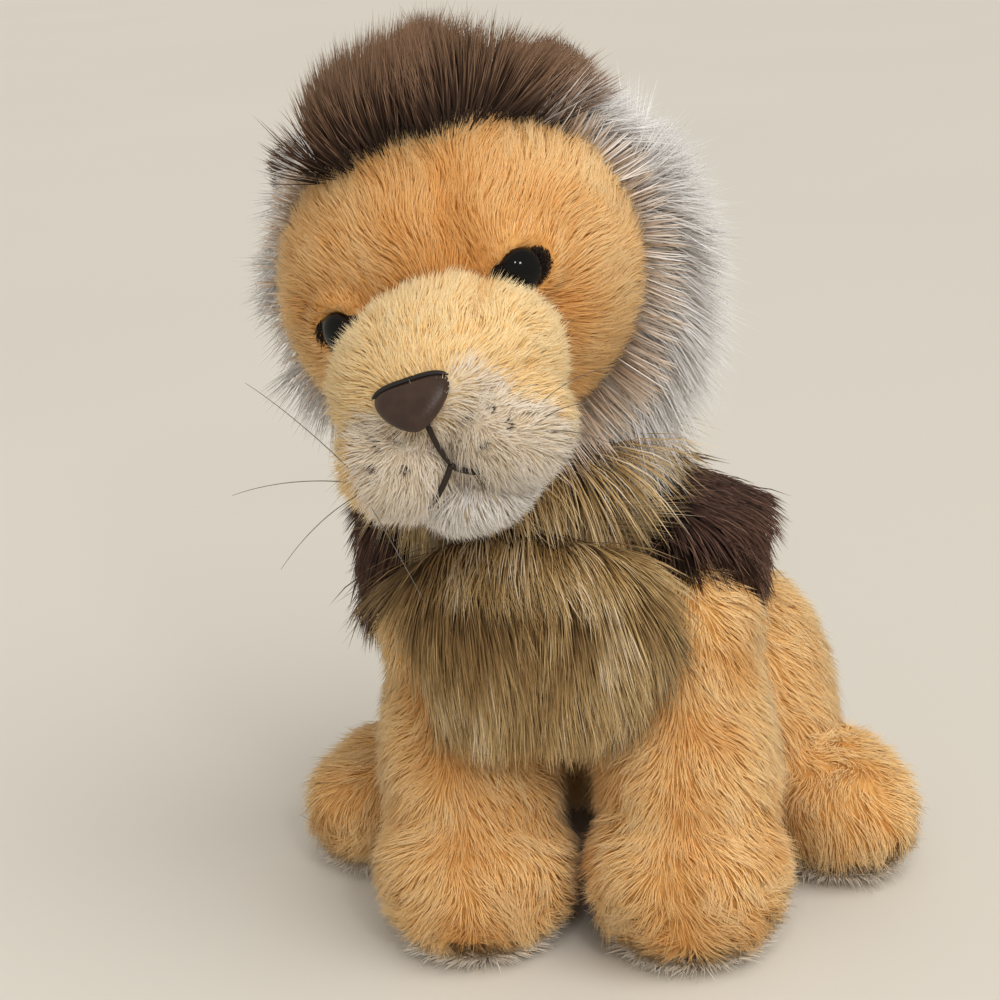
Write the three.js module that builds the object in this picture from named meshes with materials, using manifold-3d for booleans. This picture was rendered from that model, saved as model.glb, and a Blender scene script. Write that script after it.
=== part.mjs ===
// A sitting plush lion: stuffed body, tilting head with a mane, swinging legs and tail.
// Millimetres, +Z up, the face looks along -Y, the toy's own left is +X.
// The origin is the middle of the flat patch on which the rump sits.

import * as THREE from 'three';
import { mergeVertices } from 'three/addons/utils/BufferGeometryUtils.js';
import Module from 'manifold-3d';

// Clearances and cutters
const gap = 0.3; // between pieces that touch
const flatDepth = 0.5; // how far a stuffed form is pressed flat on the floor
const overrun = 300; // how far a cutter runs past what it cuts
const coarseGap = 1.4; // how much larger a cutter of few facets is than the form it clears
const weldLength = 0.0005; // corners nearer than this are one

// Body
const torsoLean = 16; // the neck leans towards the toy's right
const torsoReach = 68; // the chest is ahead of the rump
const torsoRise = 160;
const torsoHalfWidth = 48;
const torsoHalfDepth = 44;

// Neck: everything on it turns about one pivot
const neckSetback = 2; // behind the top end of the body's spine
const neckSink = 6; // below it
const neckRadius = 24;
const collarThickness = 10;
const shoulderSlopeDeg = -20; // the body and its manes stay below this cone
const headSkirtDeg = -5; // the head and its manes stay above this cone
const collarRimDeg = 0;
const nodReachDeg = 12;

// Head, in its own frame
const headHalfWidth = 54;
const headHalfDepth = 47;
const headHalfHeight = 50;
const headAside = 9.5; // from the neck, towards the toy's right
const headAhead = 22;
const headRise = 53;
const headPitchDeg = 1;
const headRollDeg = -17;

const muzzleHalfWidth = 33;
const muzzleHalfDepth = 33;
const muzzleHalfHeight = 26;
const muzzleForward = 1; // its middle is this far ahead of the head's front
const muzzleDrop = 17;

const padHalfWidth = 19.5;
const padHalfDepth = 17;
const padHalfHeight = 17.5;
const padAside = 14;
const padAhead = 17; // from the muzzle's middle
const padDrop = 15;

const chinHalfWidth = 17;
const chinHalfDepth = 17;
const chinHalfHeight = 11;
const chinAhead = 12; // from the muzzle's middle
const chinDrop = 30;

const noseWidth = 22;
const noseHeight = 15;
const noseThickness = 5;
const noseRise = 3; // above the muzzle's middle
const noseTiltDeg = -38;

const threadRadius = 0.9;
const philtrumLength = 13;
const mouthSpread = 11;
const mouthFall = 8;

const eyeRadius = 5.8;
const eyeSpacing = 27.7; // from the middle of the face to each eye
const eyeRise = 1.5;
const eyeRecess = 1.4;
const stemRadius = 1.7;
const stemLength = 15;
const ridgeHeight = 0.35;
const washerRadius = 6;
const washerThickness = 1.4;
const washerDepth = 9;

const bandRise = 4; // how much further the bands and the ears stand out at the top of the head

const earHalfWidth = 11;
const earHalfHeight = 12;
const earThickness = 5.5;
const earStand = 0; // its middle, out from the head
const earBehind = 22;

const crestStand = 3; // its own middle line, out from the head
const crestHalfDepth = 15;
const crestPile = 15;
const crestLocks = 9;

const ruffStand = 1; // its own middle line, out from the head
const ruffBehind = 26;
const ruffHalfDepth = 21;
const ruffPile = 14;
const ruffLocks = 6;

const napeSpread = 3; // wider than the head on each side
const napeRise = 6; // higher than the head
const napeHalfDepth = 41;
const napeBehind = 18;

const whiskerLength = 36;
const whiskerRadius = 0.35;

// Manes on the body
const bibDrop = 12; // its top, below the neck's pivot
const bibLength = 72;
const bibHalfWidth = 42;
const bibPile = 20;
const bibLocks = 5;

const shoulderManeHalfWidth = 27;
const shoulderManeHalfDepth = 36;
const shoulderManeHalfHeight = 37;
const shoulderManeAside = 38;
const shoulderManeBehind = 10; // from the neck's pivot
const shoulderManeDrop = 42;

const backManeHalfWidth = 44;
const backManeHalfDepth = 34;
const backManeHalfHeight = 44;
const backManeBehind = 28; // from the neck's pivot
const backManeDrop = 46;

// Forelegs
const shoulderSpacing = 35;
const shoulderAside = -3;
const shoulderForward = 12; // ahead of the top end of the body's spine
const shoulderDrop = 63; // below it
const shoulderRadius = 24.5;
const forelegHalfWidth = 25.5;
const forelegHalfDepth = 26;
const forepawSpacing = 32.5;
const forepawForward = 22; // ahead of the shoulder
const forepawHalfWidth = 31;
const forepawHalfLength = 31;
const forepawHalfHeight = 24;
const soleThickness = 5;
const forelegBackDeg = 5;
const forelegForwardDeg = 12;

// Hind legs
const hipInset = 10; // the flat seat of the thigh, in from the body's side
const hipAhead = 20;
const hipRise = 2; // above the height of a thigh that rests on the floor
const thighHalfWidth = 35;
const thighHalfLength = 40;
const thighHalfHeight = 46;
const hindpawAside = 34; // from the hip
const hindpawAhead = 24;
const hindpawHalfWidth = 25;
const hindpawHalfLength = 34;
const hindpawHalfHeight = 20.5;
const hindpawSplayDeg = 38;

// Tail
const tailRootSink = 2; // in from the body's back
const tailRootHeight = 32;
const tailRootRadius = 10;
const tailRadius = 7;
const tailReach = 66;
const tailLift = 1; // between the lying tail and the floor
const tuftHalfWidth = 11;

const pawFullness = 0.8; // a form's ends are round at 1 and blunt near 0
const limbFullness = 0.3;
const maneFullness = 0.5;
const lockShare = 0.04; // how far the locks of a mane stand out

// Axes
const X_AXIS = new THREE.Vector3(1, 0, 0);
const Y_AXIS = new THREE.Vector3(0, 1, 0);
const Z_AXIS = new THREE.Vector3(0, 0, 1);

const wasm = await Module();
wasm.setup();

const radians = THREE.MathUtils.degToRad;

/** A point from its three coordinates. */
function at(x, y, z) {
  return new THREE.Vector3(x, y, z);
}

/** A closed solid made from a geometry whose faces point out. */
function solid(geometry) {
  const bare = geometry.index ? geometry.toNonIndexed() : geometry.clone();
  bare.deleteAttribute('normal');
  bare.deleteAttribute('uv');
  const merged = mergeVertices(bare, weldLength);
  const body = new wasm.Manifold(
    new wasm.Mesh({
      numProp: 3,
      vertProperties: new Float32Array(merged.attributes.position.array),
      triVerts: new Uint32Array(withoutSlivers(merged.index.array)),
    }),
  );
  return body;
}

/** The triangles of an index that have three different corners. */
function withoutSlivers(index) {
  const kept = [];
  for (let i = 0; i < index.length; i += 3) {
    const [a, b, c] = [index[i], index[i + 1], index[i + 2]];
    if (a !== b && b !== c && c !== a) kept.push(a, b, c);
  }
  return kept;
}

/** The geometry of a solid, with flat facets. */
function geometryOf(body) {
  const mesh = body.getMesh();
  const geometry = new THREE.BufferGeometry();
  const places = new Float32Array(mesh.vertProperties);
  geometry.setAttribute('position', new THREE.BufferAttribute(places, mesh.numProp));
  geometry.setIndex(new THREE.BufferAttribute(new Uint32Array(mesh.triVerts), 1));
  geometry.computeVertexNormals();
  return geometry;
}

/** A solid with others cut away from it. */
function cut(body, ...tools) {
  return tools.flat().reduce((left, tool) => left.subtract(tool), body);
}

/** Several solids joined into one. */
function join(...bodies) {
  return bodies.flat().reduce((all, one) => all.add(one));
}

/**
 * A stuffed bag: round sections that follow a spine and close at both ends.
 * wide and deep are its half sizes at each station, across `side` and across the rest.
 * A low fullness gives blunt ends. locks makes waves along it, each lockShare of its size.
 */
function bag(shape, rings, sides) {
  const { spine, wide, deep, side = X_AXIS, fullness = 0.5, locks = 0, lockShare = 0, grow = 0 } = shape;
  const path = new THREE.CatmullRomCurve3(spine);
  const sizes = new THREE.CatmullRomCurve3(wide.map((w, i) => at(w, deep[i], 0)));
  const geometry = new THREE.SphereGeometry(1, sides, rings);
  const place = geometry.attributes.position;
  const unit = new THREE.Vector3();
  for (let i = 0; i < place.count; i += 1) {
    unit.fromBufferAttribute(place, i);
    const share = THREE.MathUtils.clamp((1 - unit.y) / 2, 0, 1);
    const along = path.getTangent(share);
    const across = side.clone().addScaledVector(along, -side.dot(along)).normalize();
    const over = along.clone().cross(across);
    const round = Math.hypot(unit.x, unit.z);
    const swell = round > 0 ? Math.pow(round, fullness) / round : 0;
    const wave = 1 + lockShare * Math.cos(2 * Math.PI * locks * share);
    const size = sizes.getPoint(share);
    const point = path.getPoint(share).addScaledVector(along, -unit.y * grow);
    point.addScaledVector(across, unit.x * swell * (size.x * wave + grow));
    point.addScaledVector(over, unit.z * swell * (size.y * wave + grow));
    place.setXYZ(i, point.x, point.y, point.z);
  }
  return solid(geometry);
}

/** A stuffed ball with three half sizes, turned and placed. A low fullness gives flat poles. */
function ball({ centre, half, turn = new THREE.Euler(), fullness = 1, grow = 0 }, rings, sides) {
  const geometry = new THREE.SphereGeometry(1, sides, rings);
  geometry.rotateX(Math.PI / 2);
  const place = geometry.attributes.position;
  for (let i = 0; i < place.count; i += 1) {
    const round = Math.hypot(place.getX(i), place.getY(i));
    const swell = round > 0 ? Math.pow(round, fullness) / round : 0;
    const height = Math.sign(place.getZ(i)) * Math.pow(Math.abs(place.getZ(i)), fullness);
    place.setXYZ(i, place.getX(i) * swell, place.getY(i) * swell, height);
  }
  geometry.scale(half.x + grow, half.y + grow, half.z + grow);
  geometry.applyQuaternion(new THREE.Quaternion().setFromEuler(turn));
  geometry.translate(centre.x, centre.y, centre.z);
  return solid(geometry);
}

/** A block between two corners. */
function block(low, high) {
  const size = high.clone().sub(low);
  const middle = low.clone().add(high).multiplyScalar(1 / 2);
  return solid(new THREE.BoxGeometry(size.x, size.y, size.z).translate(middle.x, middle.y, middle.z));
}

/** A turned solid about the Z axis: its profile starts and ends on the axis, as [radius, height] pairs. */
function turned(profile, sides, matrix = new THREE.Matrix4()) {
  const points = profile.map(([radius, height]) => new THREE.Vector2(Math.max(radius, 0), height));
  const geometry = new THREE.LatheGeometry(points, sides);
  geometry.rotateX(Math.PI / 2);
  geometry.applyMatrix4(matrix);
  return solid(geometry);
}

/** Points of an arc about the origin, by elevation in degrees. */
function arc(radius, fromDeg, toDeg, steps) {
  return Array.from({ length: steps + 1 }, (_, i) => {
    const angle = radians(fromDeg + ((toDeg - fromDeg) * i) / steps);
    return [radius * Math.cos(angle), radius * Math.sin(angle)];
  });
}

/** Everything below a height. */
function below(height) {
  return block(at(-overrun, -overrun, -overrun), at(overrun, overrun, height));
}

/** A named mesh of one material. */
function piece(name, body, color, roughness = 0.95) {
  const material = new THREE.MeshStandardMaterial({ color, roughness, metalness: 0 });
  const mesh = new THREE.Mesh(geometryOf(body), material);
  mesh.name = name;
  return mesh;
}

/** Copies of a form turned about an axis along X through a pivot, from one angle to another. */
function swing(form, pivot, fromDeg, toDeg, steps) {
  const geometry = geometryOf(form);
  return Array.from({ length: steps + 1 }, (_, i) => {
    const angle = radians(fromDeg + ((toDeg - fromDeg) * i) / steps);
    const copy = geometry.clone().translate(-pivot.x, -pivot.y, -pivot.z);
    return solid(copy.rotateX(angle).translate(pivot.x, pivot.y, pivot.z));
  });
}

// Colours
const golden = 0xd9a566;
const goldenCap = 0xebc07e;
const cream = 0xd8c6ac;
const chinCream = 0xcfc6be;
const tan = 0x8e7650;
const darkBrown = 0x4a3530;
const whiteTip = 0xd9d0c6;

// Neck and its cutters

const neckPivot = at(-torsoLean, neckSetback - torsoReach, torsoRise - neckSink);
const collarRadius = neckRadius + 2 * gap + collarThickness;
const toNeck = new THREE.Matrix4().makeTranslation(neckPivot.x, neckPivot.y, neckPivot.z);

/** The height of a cone about the neck pivot at a given radius. */
function coneHeight(radius, slopeDeg) {
  return radius * Math.tan(radians(slopeDeg));
}

const aboveShoulders = turned(
  [[0, 0], [overrun, coneHeight(overrun, shoulderSlopeDeg)], [overrun, overrun], [0, overrun]],
  24,
  toNeck,
);
const belowHead = turned(
  [[0, -overrun], [overrun, -overrun], [overrun, coneHeight(overrun, headSkirtDeg)], [0, 0]],
  24,
  toNeck,
);
const spaceSteps = 12;

/** The radius of a faceted ball that clears a true ball with the usual gap. */
function clearOf(radius) {
  return (radius + gap) / Math.cos(Math.PI / (2 * spaceSteps));
}

const neckSpace = turned(arc(clearOf(neckRadius), -90, 90, spaceSteps), 2 * spaceSteps, toNeck);
const collarSpace = turned(arc(clearOf(collarRadius), -90, 90, spaceSteps), 2 * spaceSteps, toNeck);
const collarNodSpace = turned(
  [...arc(clearOf(collarRadius), -90, nodReachDeg, 7), [0, 0]],
  2 * spaceSteps,
  toNeck,
);

// Body

const torsoSpineShares = [
  [0, -0.55, 0.17],
  [0, -0.12, 0.28],
  [0.15, 0.28, 0.42],
  [0.4, 0.6, 0.6],
  [0.75, 0.86, 0.8],
  [1, 1, 1],
];
const torsoWideShares = [0.9, 1, 1.02, 1, 0.96, 0.8];
const torsoDeepShares = [0.9, 1, 1, 0.97, 0.93, 0.8];

/** The stuffed body before anything is cut from it, resting on the floor with its seat at the origin. */
function torsoForm(grow) {
  return bag(
    {
      spine: torsoSpineShares.map(([lean, reach, rise]) =>
        at(-lean * torsoLean, -reach * torsoReach, rise * torsoRise),
      ),
      wide: torsoWideShares.map((share) => share * torsoHalfWidth),
      deep: torsoDeepShares.map((share) => share * torsoHalfDepth),
      grow,
    },
    19,
    26,
  );
}

/** How far the body's form is moved so that its lowest part is at the origin. */
function torsoShift() {
  const geometry = geometryOf(torsoForm(0));
  geometry.computeBoundingBox();
  const lowest = geometry.boundingBox.min.z;
  const seat = new THREE.Box3();
  const corner = new THREE.Vector3();
  for (let i = 0; i < geometry.attributes.position.count; i += 1) {
    corner.fromBufferAttribute(geometry.attributes.position, i);
    if (corner.z < lowest + flatDepth) seat.expandByPoint(corner);
  }
  const middle = seat.getCenter(new THREE.Vector3());
  return at(-middle.x, -middle.y, -lowest - flatDepth);
}

const shift = torsoShift();

/** The stuffed body in its place. */
function torsoBody(grow = 0) {
  const geometry = geometryOf(torsoForm(grow));
  return solid(geometry.translate(shift.x, shift.y, shift.z));
}

// Forelegs

/** The pivot of a foreleg; side is 1 for the toy's left. */
function shoulderPivot(side) {
  return at(shoulderAside + side * shoulderSpacing, -torsoReach - shoulderForward, torsoRise - shoulderDrop);
}

// How far down and how far ahead the knee and the wrist lie, from the shoulder to the paw.
const forelegJointShares = [
  [0.45, 0.3],
  [0.85, 0.65],
];
const forelegWidthShares = [1, 1, 1.02, 1.08];
const forelegDepthShares = [0.98, 1, 1, 1.1];

/** The middle of a forepaw. */
function forepawMiddle(side) {
  return at(side * forepawSpacing, shoulderPivot(side).y - forepawForward, forepawHalfHeight - flatDepth);
}

/** The round top of a foreleg, about its pivot. */
function shoulderBall(side, grow, rings, sides) {
  const half = at(shoulderRadius, shoulderRadius, shoulderRadius);
  return ball({ centre: shoulderPivot(side), half, grow }, rings, sides);
}

/** The limb of a foreleg, between its shoulder and its paw. */
function forelimb(side, grow, rings, sides) {
  const top = shoulderPivot(side);
  const paw = forepawMiddle(side);
  const [knee, wrist] = forelegJointShares.map(([down, ahead]) => {
    const joint = top.clone().lerp(paw, down);
    return joint.setY(THREE.MathUtils.lerp(top.y, paw.y, ahead));
  });
  return bag(
    {
      spine: [
        top.clone().setZ(top.z + shoulderRadius / 2),
        knee,
        wrist,
        paw.clone().setZ(forepawHalfHeight / 2),
      ],
      wide: forelegWidthShares.map((share) => share * forelegHalfWidth),
      deep: forelegDepthShares.map((share) => share * forelegHalfDepth),
      fullness: limbFullness,
      grow,
    },
    rings,
    sides,
  );
}

/** A whole foreleg with its paw. */
function forelegForm(side) {
  const paw = ball(
    {
      centre: forepawMiddle(side),
      half: at(forepawHalfWidth, forepawHalfLength, forepawHalfHeight),
      fullness: pawFullness,
    },
    11,
    18,
  );
  return join(shoulderBall(side, 0, 10, 14), forelimb(side, 0, 10, 14), paw);
}

/** The space that a foreleg needs in the body as it swings. */
function forelegSpace(side) {
  const limb = forelimb(side, coarseGap, 8, 12);
  return [
    shoulderBall(side, coarseGap, 8, 14),
    ...swing(limb, shoulderPivot(side), -forelegForwardDeg, forelegBackDeg, 2),
  ];
}

/** A leg cut off above its sole. */
function aboveSole(form) {
  return cut(form, below(soleThickness + gap));
}

/** The sole of a leg, flat on the floor. */
function soleOf(form) {
  const high = at(overrun, overrun, soleThickness);
  return form.intersect(block(at(-overrun, -overrun, 0), high));
}

// Hind legs

const hipDiscShare = 1.05;
const hipSpacing = torsoHalfWidth - hipInset;

/** The pivot of a hind leg. */
function hipPivot(side) {
  return at(side * hipSpacing, -hipAhead, thighHalfHeight + hipRise);
}

/** The space beside the body where a thigh turns, a disc about the pivot. */
function hipSpace(side) {
  const radius = Math.max(thighHalfLength, thighHalfHeight) * hipDiscShare;
  const geometry = new THREE.CylinderGeometry(radius, radius, overrun, 28);
  geometry.rotateZ(Math.PI / 2);
  const pivot = hipPivot(side);
  return solid(geometry.translate(pivot.x + (side * overrun) / 2, pivot.y, pivot.z));
}

/** A hind leg's paw, turned outward. */
function hindpawForm(side, grow) {
  const hip = hipPivot(side);
  return ball(
    {
      centre: at(hip.x + side * hindpawAside, hip.y - hindpawAhead, hindpawHalfHeight - flatDepth),
      half: at(hindpawHalfWidth, hindpawHalfLength, hindpawHalfHeight),
      turn: new THREE.Euler(0, 0, side * radians(hindpawSplayDeg)),
      fullness: pawFullness,
      grow,
    },
    11,
    18,
  );
}

/** A whole hind leg: thigh with a flat seat, and paw. */
function hindlegForm(side) {
  const pivot = hipPivot(side);
  const thigh = ball({ centre: pivot, half: at(thighHalfWidth, thighHalfLength, thighHalfHeight) }, 14, 22);
  const seat = at(side * (hipSpacing + gap), 0, 0);
  const inside = block(
    at(Math.min(seat.x, -side * overrun), -overrun, -overrun),
    at(Math.max(seat.x, -side * overrun), overrun, overrun),
  );
  return join(cut(thigh, inside), hindpawForm(side, 0));
}

// Tail

const tailRoot = at(0, torsoHalfDepth - tailRootSink, tailRootHeight);
const tailRouteShares = [
  [0, 0],
  [0.06, 0.3],
  [0.4, 0.5],
  [0.8, 0.42],
  [1, 0.12],
];

/** The tail's middle line, from its root down to the floor and round to the toy's right. */
function tailRoute() {
  const floor = tailRadius + tailLift;
  const heights = [tailRootHeight, (tailRootHeight + floor) / 2, floor, floor, floor];
  return tailRouteShares.map(([aside, behind], i) =>
    at(-aside * tailReach, tailRoot.y + behind * tailReach, heights[i]),
  );
}

const tailRootForm = (grow) => {
  const half = at(tailRootRadius, tailRootRadius, tailRootRadius);
  return ball({ centre: tailRoot, half, grow }, 8, 14);
};

/** The tail, a round bag with its root ball. */
function tailForm() {
  const route = tailRoute();
  const limb = bag(
    {
      spine: route,
      wide: route.map(() => tailRadius),
      deep: route.map(() => tailRadius),
      side: Z_AXIS,
      fullness: limbFullness,
    },
    14,
    8,
  );
  return join(tailRootForm(0), limb);
}

const tuftSpineShares = [-0.3, 1, 2.4];
const tuftWideShares = [0.7, 1, 0.75];

/** The tuft, a pointed bag that continues the tail. */
function tuftForm(grow) {
  const route = tailRoute();
  const end = route[route.length - 1];
  const lift = tuftHalfWidth + tailLift;
  const along = end.clone().sub(route[route.length - 2]).normalize();
  return bag(
    {
      spine: tuftSpineShares.map((share) =>
        end
          .clone()
          .addScaledVector(along, share * tuftHalfWidth)
          .setZ(lift),
      ),
      wide: tuftWideShares.map((share) => share * tuftHalfWidth),
      deep: tuftWideShares.map((share) => share * tuftHalfWidth),
      side: Z_AXIS,
      fullness: pawFullness,
      grow,
    },
    9,
    12,
  );
}

// Manes on the body

const bibWideShares = [0.8, 1, 0.92, 0.45];
const bibPileShares = [0.8, 1, 0.95, 0.6];
const bibLeanShares = [1, 0.75, 0.25, -0.35];

/** The chest bib: long pile that hangs in a point between the forelegs. */
function bibForm() {
  const rows = bibLeanShares.length - 1;
  return bag(
    {
      spine: bibLeanShares.map((share, i) =>
        at(-share * torsoLean, -torsoReach - torsoHalfDepth, neckPivot.z - bibDrop - (bibLength * i) / rows),
      ),
      wide: bibWideShares.map((share) => share * bibHalfWidth),
      deep: bibPileShares.map((share) => share * bibPile),
      fullness: maneFullness,
      locks: bibLocks,
      lockShare,
    },
    15,
    20,
  );
}

/** The dark pile over one shoulder. */
function shoulderManeForm(side, grow = 0) {
  return ball(
    {
      centre: at(
        side * shoulderManeAside - torsoLean / 2,
        neckPivot.y + shoulderManeBehind,
        neckPivot.z - shoulderManeDrop,
      ),
      half: at(shoulderManeHalfWidth, shoulderManeHalfDepth, shoulderManeHalfHeight),
      grow,
    },
    11,
    18,
  );
}

/** The dark pile over the upper back. */
function backManeForm() {
  return ball(
    {
      centre: at(-torsoLean / 2, neckPivot.y + backManeBehind, neckPivot.z - backManeDrop),
      half: at(backManeHalfWidth, backManeHalfDepth, backManeHalfHeight),
    },
    12,
    20,
  );
}

const flanks = { left: 1, right: -1 };

/** Every piece of the body, with its legs and tail. */
function makeBody() {
  const group = new THREE.Group();
  const neckCuts = [aboveShoulders, collarSpace];
  const legSpaces = Object.values(flanks).flatMap((side) => forelegSpace(side));
  const hipSpaces = Object.values(flanks).map((side) => hipSpace(side));
  const torso = cut(torsoBody(), below(0), neckCuts, legSpaces, hipSpaces, tailRootForm(gap));
  const torsoSkin = torsoBody(gap);
  group.add(piece('torso', torso, golden));

  const bib = cut(bibForm(), torsoSkin, neckCuts, legSpaces);
  group.add(piece('chest_mane', largest(bib), tan));
  const bibSkin = bibForm();

  const back = cut(backManeForm(), torsoSkin, neckCuts, legSpaces, hipSpaces);
  for (const [name, side] of Object.entries(flanks)) {
    const form = shoulderManeForm(side);
    const mane = cut(form, torsoSkin, bibSkin, neckCuts, legSpaces, hipSpaces, spread(side));
    group.add(piece(`shoulder_mane_${name}`, largest(mane), darkBrown));
  }
  const backCuts = Object.values(flanks).map((side) => shoulderManeForm(side, gap));
  group.add(piece('back_mane', largest(cut(back, bibSkin, backCuts)), darkBrown));

  for (const [name, side] of Object.entries(flanks)) {
    const foreleg = forelegForm(side);
    group.add(piece(`foreleg_${name}`, aboveSole(foreleg), golden));
    group.add(piece(`forepaw_sole_${name}`, soleOf(foreleg), cream));
    const hindleg = hindlegForm(side);
    group.add(piece(`hindleg_${name}`, aboveSole(hindleg), golden));
    group.add(piece(`hindpaw_sole_${name}`, soleOf(hindpawForm(side, 0)), cream));
  }

  group.add(piece('tail', cut(tailForm(), tuftForm(gap)), golden));
  group.add(piece('tail_tuft', tuftForm(0), darkBrown));
  return group;
}

/** The half of space on the other side of the body's middle. */
function spread(side) {
  const middle = -torsoLean / 2;
  const inner = middle + (side * shoulderManeAside) / 4;
  return block(
    at(Math.min(inner, -side * overrun), -overrun, -overrun),
    at(Math.max(inner, -side * overrun), overrun, overrun),
  );
}

/** The largest of the separate parts that a cut leaves, when it trims off crumbs. */
function largest(body) {
  return body.decompose().sort((a, b) => b.volume() - a.volume())[0];
}

/** The two pieces of the neck. */
function makeNeck() {
  const group = new THREE.Group();
  const inner = clearOf(neckRadius);
  const cup = [...arc(collarRadius, -90, collarRimDeg, 7), ...arc(inner, collarRimDeg, -90, 6)];
  group.add(piece('collar_mane', turned(cup, 22, toNeck), tan));
  group.add(piece('neck', turned(arc(neckRadius, -90, 90, 10), 20, toNeck), golden));
  return group;
}

// Head

/** A point of a band round the head, by its angle from straight up and how far it stands out. */
function headRound(stand, angleDeg, behind, share = 1) {
  const angle = radians(angleDeg);
  const across = (headHalfWidth + stand) * share;
  const up = (headHalfHeight + bandRise + stand) * share;
  return at(across * Math.sin(angle), behind, up * Math.cos(angle));
}

const headForm = (grow, rings, sides) =>
  ball({ centre: at(0, 0, 0), half: at(headHalfWidth, headHalfDepth, headHalfHeight), grow }, rings, sides);

const muzzleAhead = headHalfDepth + muzzleForward;
const noseDrop = muzzleDrop - noseRise;

const muzzleForm = (grow = 0) =>
  ball(
    {
      centre: at(0, -muzzleAhead, -muzzleDrop),
      half: at(muzzleHalfWidth, muzzleHalfDepth, muzzleHalfHeight),
      grow,
    },
    13,
    20,
  );

/** The middle of a cream pad of the muzzle. */
function padMiddle(side) {
  return at(side * padAside, -muzzleAhead - padAhead, -muzzleDrop - padDrop);
}

const padForm = (side, grow = 0) =>
  ball(
    {
      centre: padMiddle(side),
      half: at(padHalfWidth, padHalfDepth, padHalfHeight),
      grow,
    },
    12,
    18,
  );

const chinForm = () =>
  ball(
    {
      centre: at(0, -muzzleAhead - chinAhead, -muzzleDrop - chinDrop),
      half: at(chinHalfWidth, chinHalfDepth, chinHalfHeight),
    },
    9,
    14,
  );

/** The point of the muzzle's front on the middle plane at a height below the head's middle. */
function muzzleFront(drop) {
  const share = (drop - muzzleDrop) / muzzleHalfHeight;
  return at(0, -muzzleAhead - muzzleHalfDepth * Math.sqrt(Math.max(1 - share * share, 0)), -drop);
}

const noseTopShare = 0.4;
const nosePointShare = 0.8;

/** The nose: a cushioned triangle with round corners, lying on the front of the muzzle. */
function noseForm(grow = 0) {
  const halfWidth = noseWidth / 2 + grow;
  const top = noseHeight * noseTopShare + grow;
  const bottom = noseHeight * (noseTopShare - 1) - grow;
  const corner = noseHeight / 5;
  const point = corner * nosePointShare;
  const outline = new THREE.Shape();
  outline.moveTo(-halfWidth + corner, top);
  outline.lineTo(halfWidth - corner, top);
  outline.quadraticCurveTo(halfWidth, top, halfWidth - corner / 3, top - corner);
  outline.lineTo(point, bottom + corner / 2);
  outline.quadraticCurveTo(0, bottom, -point, bottom + corner / 2);
  outline.lineTo(-halfWidth + corner / 3, top - corner);
  outline.quadraticCurveTo(-halfWidth, top, -halfWidth + corner, top);
  const bevel = noseThickness / 4;
  const geometry = new THREE.ExtrudeGeometry(outline, {
    depth: noseThickness + grow - 2 * bevel,
    bevelEnabled: true,
    bevelThickness: bevel,
    bevelSize: bevel,
    bevelOffset: -bevel,
    bevelSegments: 2,
    curveSegments: 5,
  });
  geometry.translate(0, 0, -noseThickness / 2 + bevel);
  geometry.rotateX(Math.PI / 2 + radians(noseTiltDeg));
  const front = muzzleFront(noseDrop);
  return solid(geometry.translate(front.x, front.y, front.z));
}

/** A straight thread between two points. */
function thread(from, to, radius) {
  const outline = new THREE.Shape();
  outline.absarc(0, 0, radius, 0, 2 * Math.PI);
  const geometry = new THREE.ExtrudeGeometry(outline, {
    extrudePath: new THREE.LineCurve3(from, to),
    steps: 1,
    curveSegments: 3,
    bevelEnabled: false,
  });
  return solid(geometry);
}

const mouthDepthShare = 0.86;

/** The stitched line under the nose and its two branches. */
function mouthForm(radius) {
  const high = noseDrop + noseHeight / 2;
  const low = high + philtrumLength;
  const ahead = muzzleAhead + padAhead + padHalfDepth * mouthDepthShare;
  const start = at(0, -ahead, -high);
  const fork = at(0, -ahead, -low);
  const corner = (side) => at(side * mouthSpread, -ahead + mouthFall / 2, -low - mouthFall);
  const overlap = at(0, 0, -radius);
  return join(
    thread(start, fork.clone().add(overlap), radius),
    thread(fork, corner(flanks.left), radius),
    thread(fork, corner(flanks.right), radius),
  );
}

/** The middle of an eye on the face, and the way that it looks. */
function eyePlace(side) {
  const across = eyeSpacing / headHalfWidth;
  const up = eyeRise / headHalfHeight;
  const ahead = headHalfDepth * Math.sqrt(1 - across * across - up * up);
  const centre = at(side * eyeSpacing, -ahead, eyeRise);
  const out = at(
    centre.x / (headHalfWidth * headHalfWidth),
    centre.y / (headHalfDepth * headHalfDepth),
    centre.z / (headHalfHeight * headHalfHeight),
  ).normalize();
  centre.addScaledVector(out, -eyeRecess);
  const quaternion = new THREE.Quaternion().setFromUnitVectors(Z_AXIS, out);
  return new THREE.Matrix4().compose(centre, quaternion, at(1, 1, 1));
}

const domeShare = 0.62;

/** The profile of an eye: a stem with ridges, a flat back and a dome. */
function eyeProfile() {
  const ridges = 3;
  const free = stemLength - washerThickness;
  const stem = Array.from({ length: ridges }, (_, i) => {
    const height = -stemLength + (free * (i + 1 / 2)) / ridges;
    return [
      [stemRadius - ridgeHeight, height - free / ridges / 3],
      [stemRadius, height],
    ];
  }).flat();
  const dome = Array.from({ length: 6 }, (_, i) => {
    const angle = radians((90 * i) / 5);
    return [eyeRadius * Math.cos(angle), eyeRadius * domeShare * Math.sin(angle)];
  });
  return [
    [0, -stemLength],
    ...stem,
    [stemRadius - ridgeHeight, -washerThickness],
    [stemRadius - ridgeHeight, -ridgeHeight * 2],
    [eyeRadius - ridgeHeight, -ridgeHeight * 2],
    ...dome,
  ];
}

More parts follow.
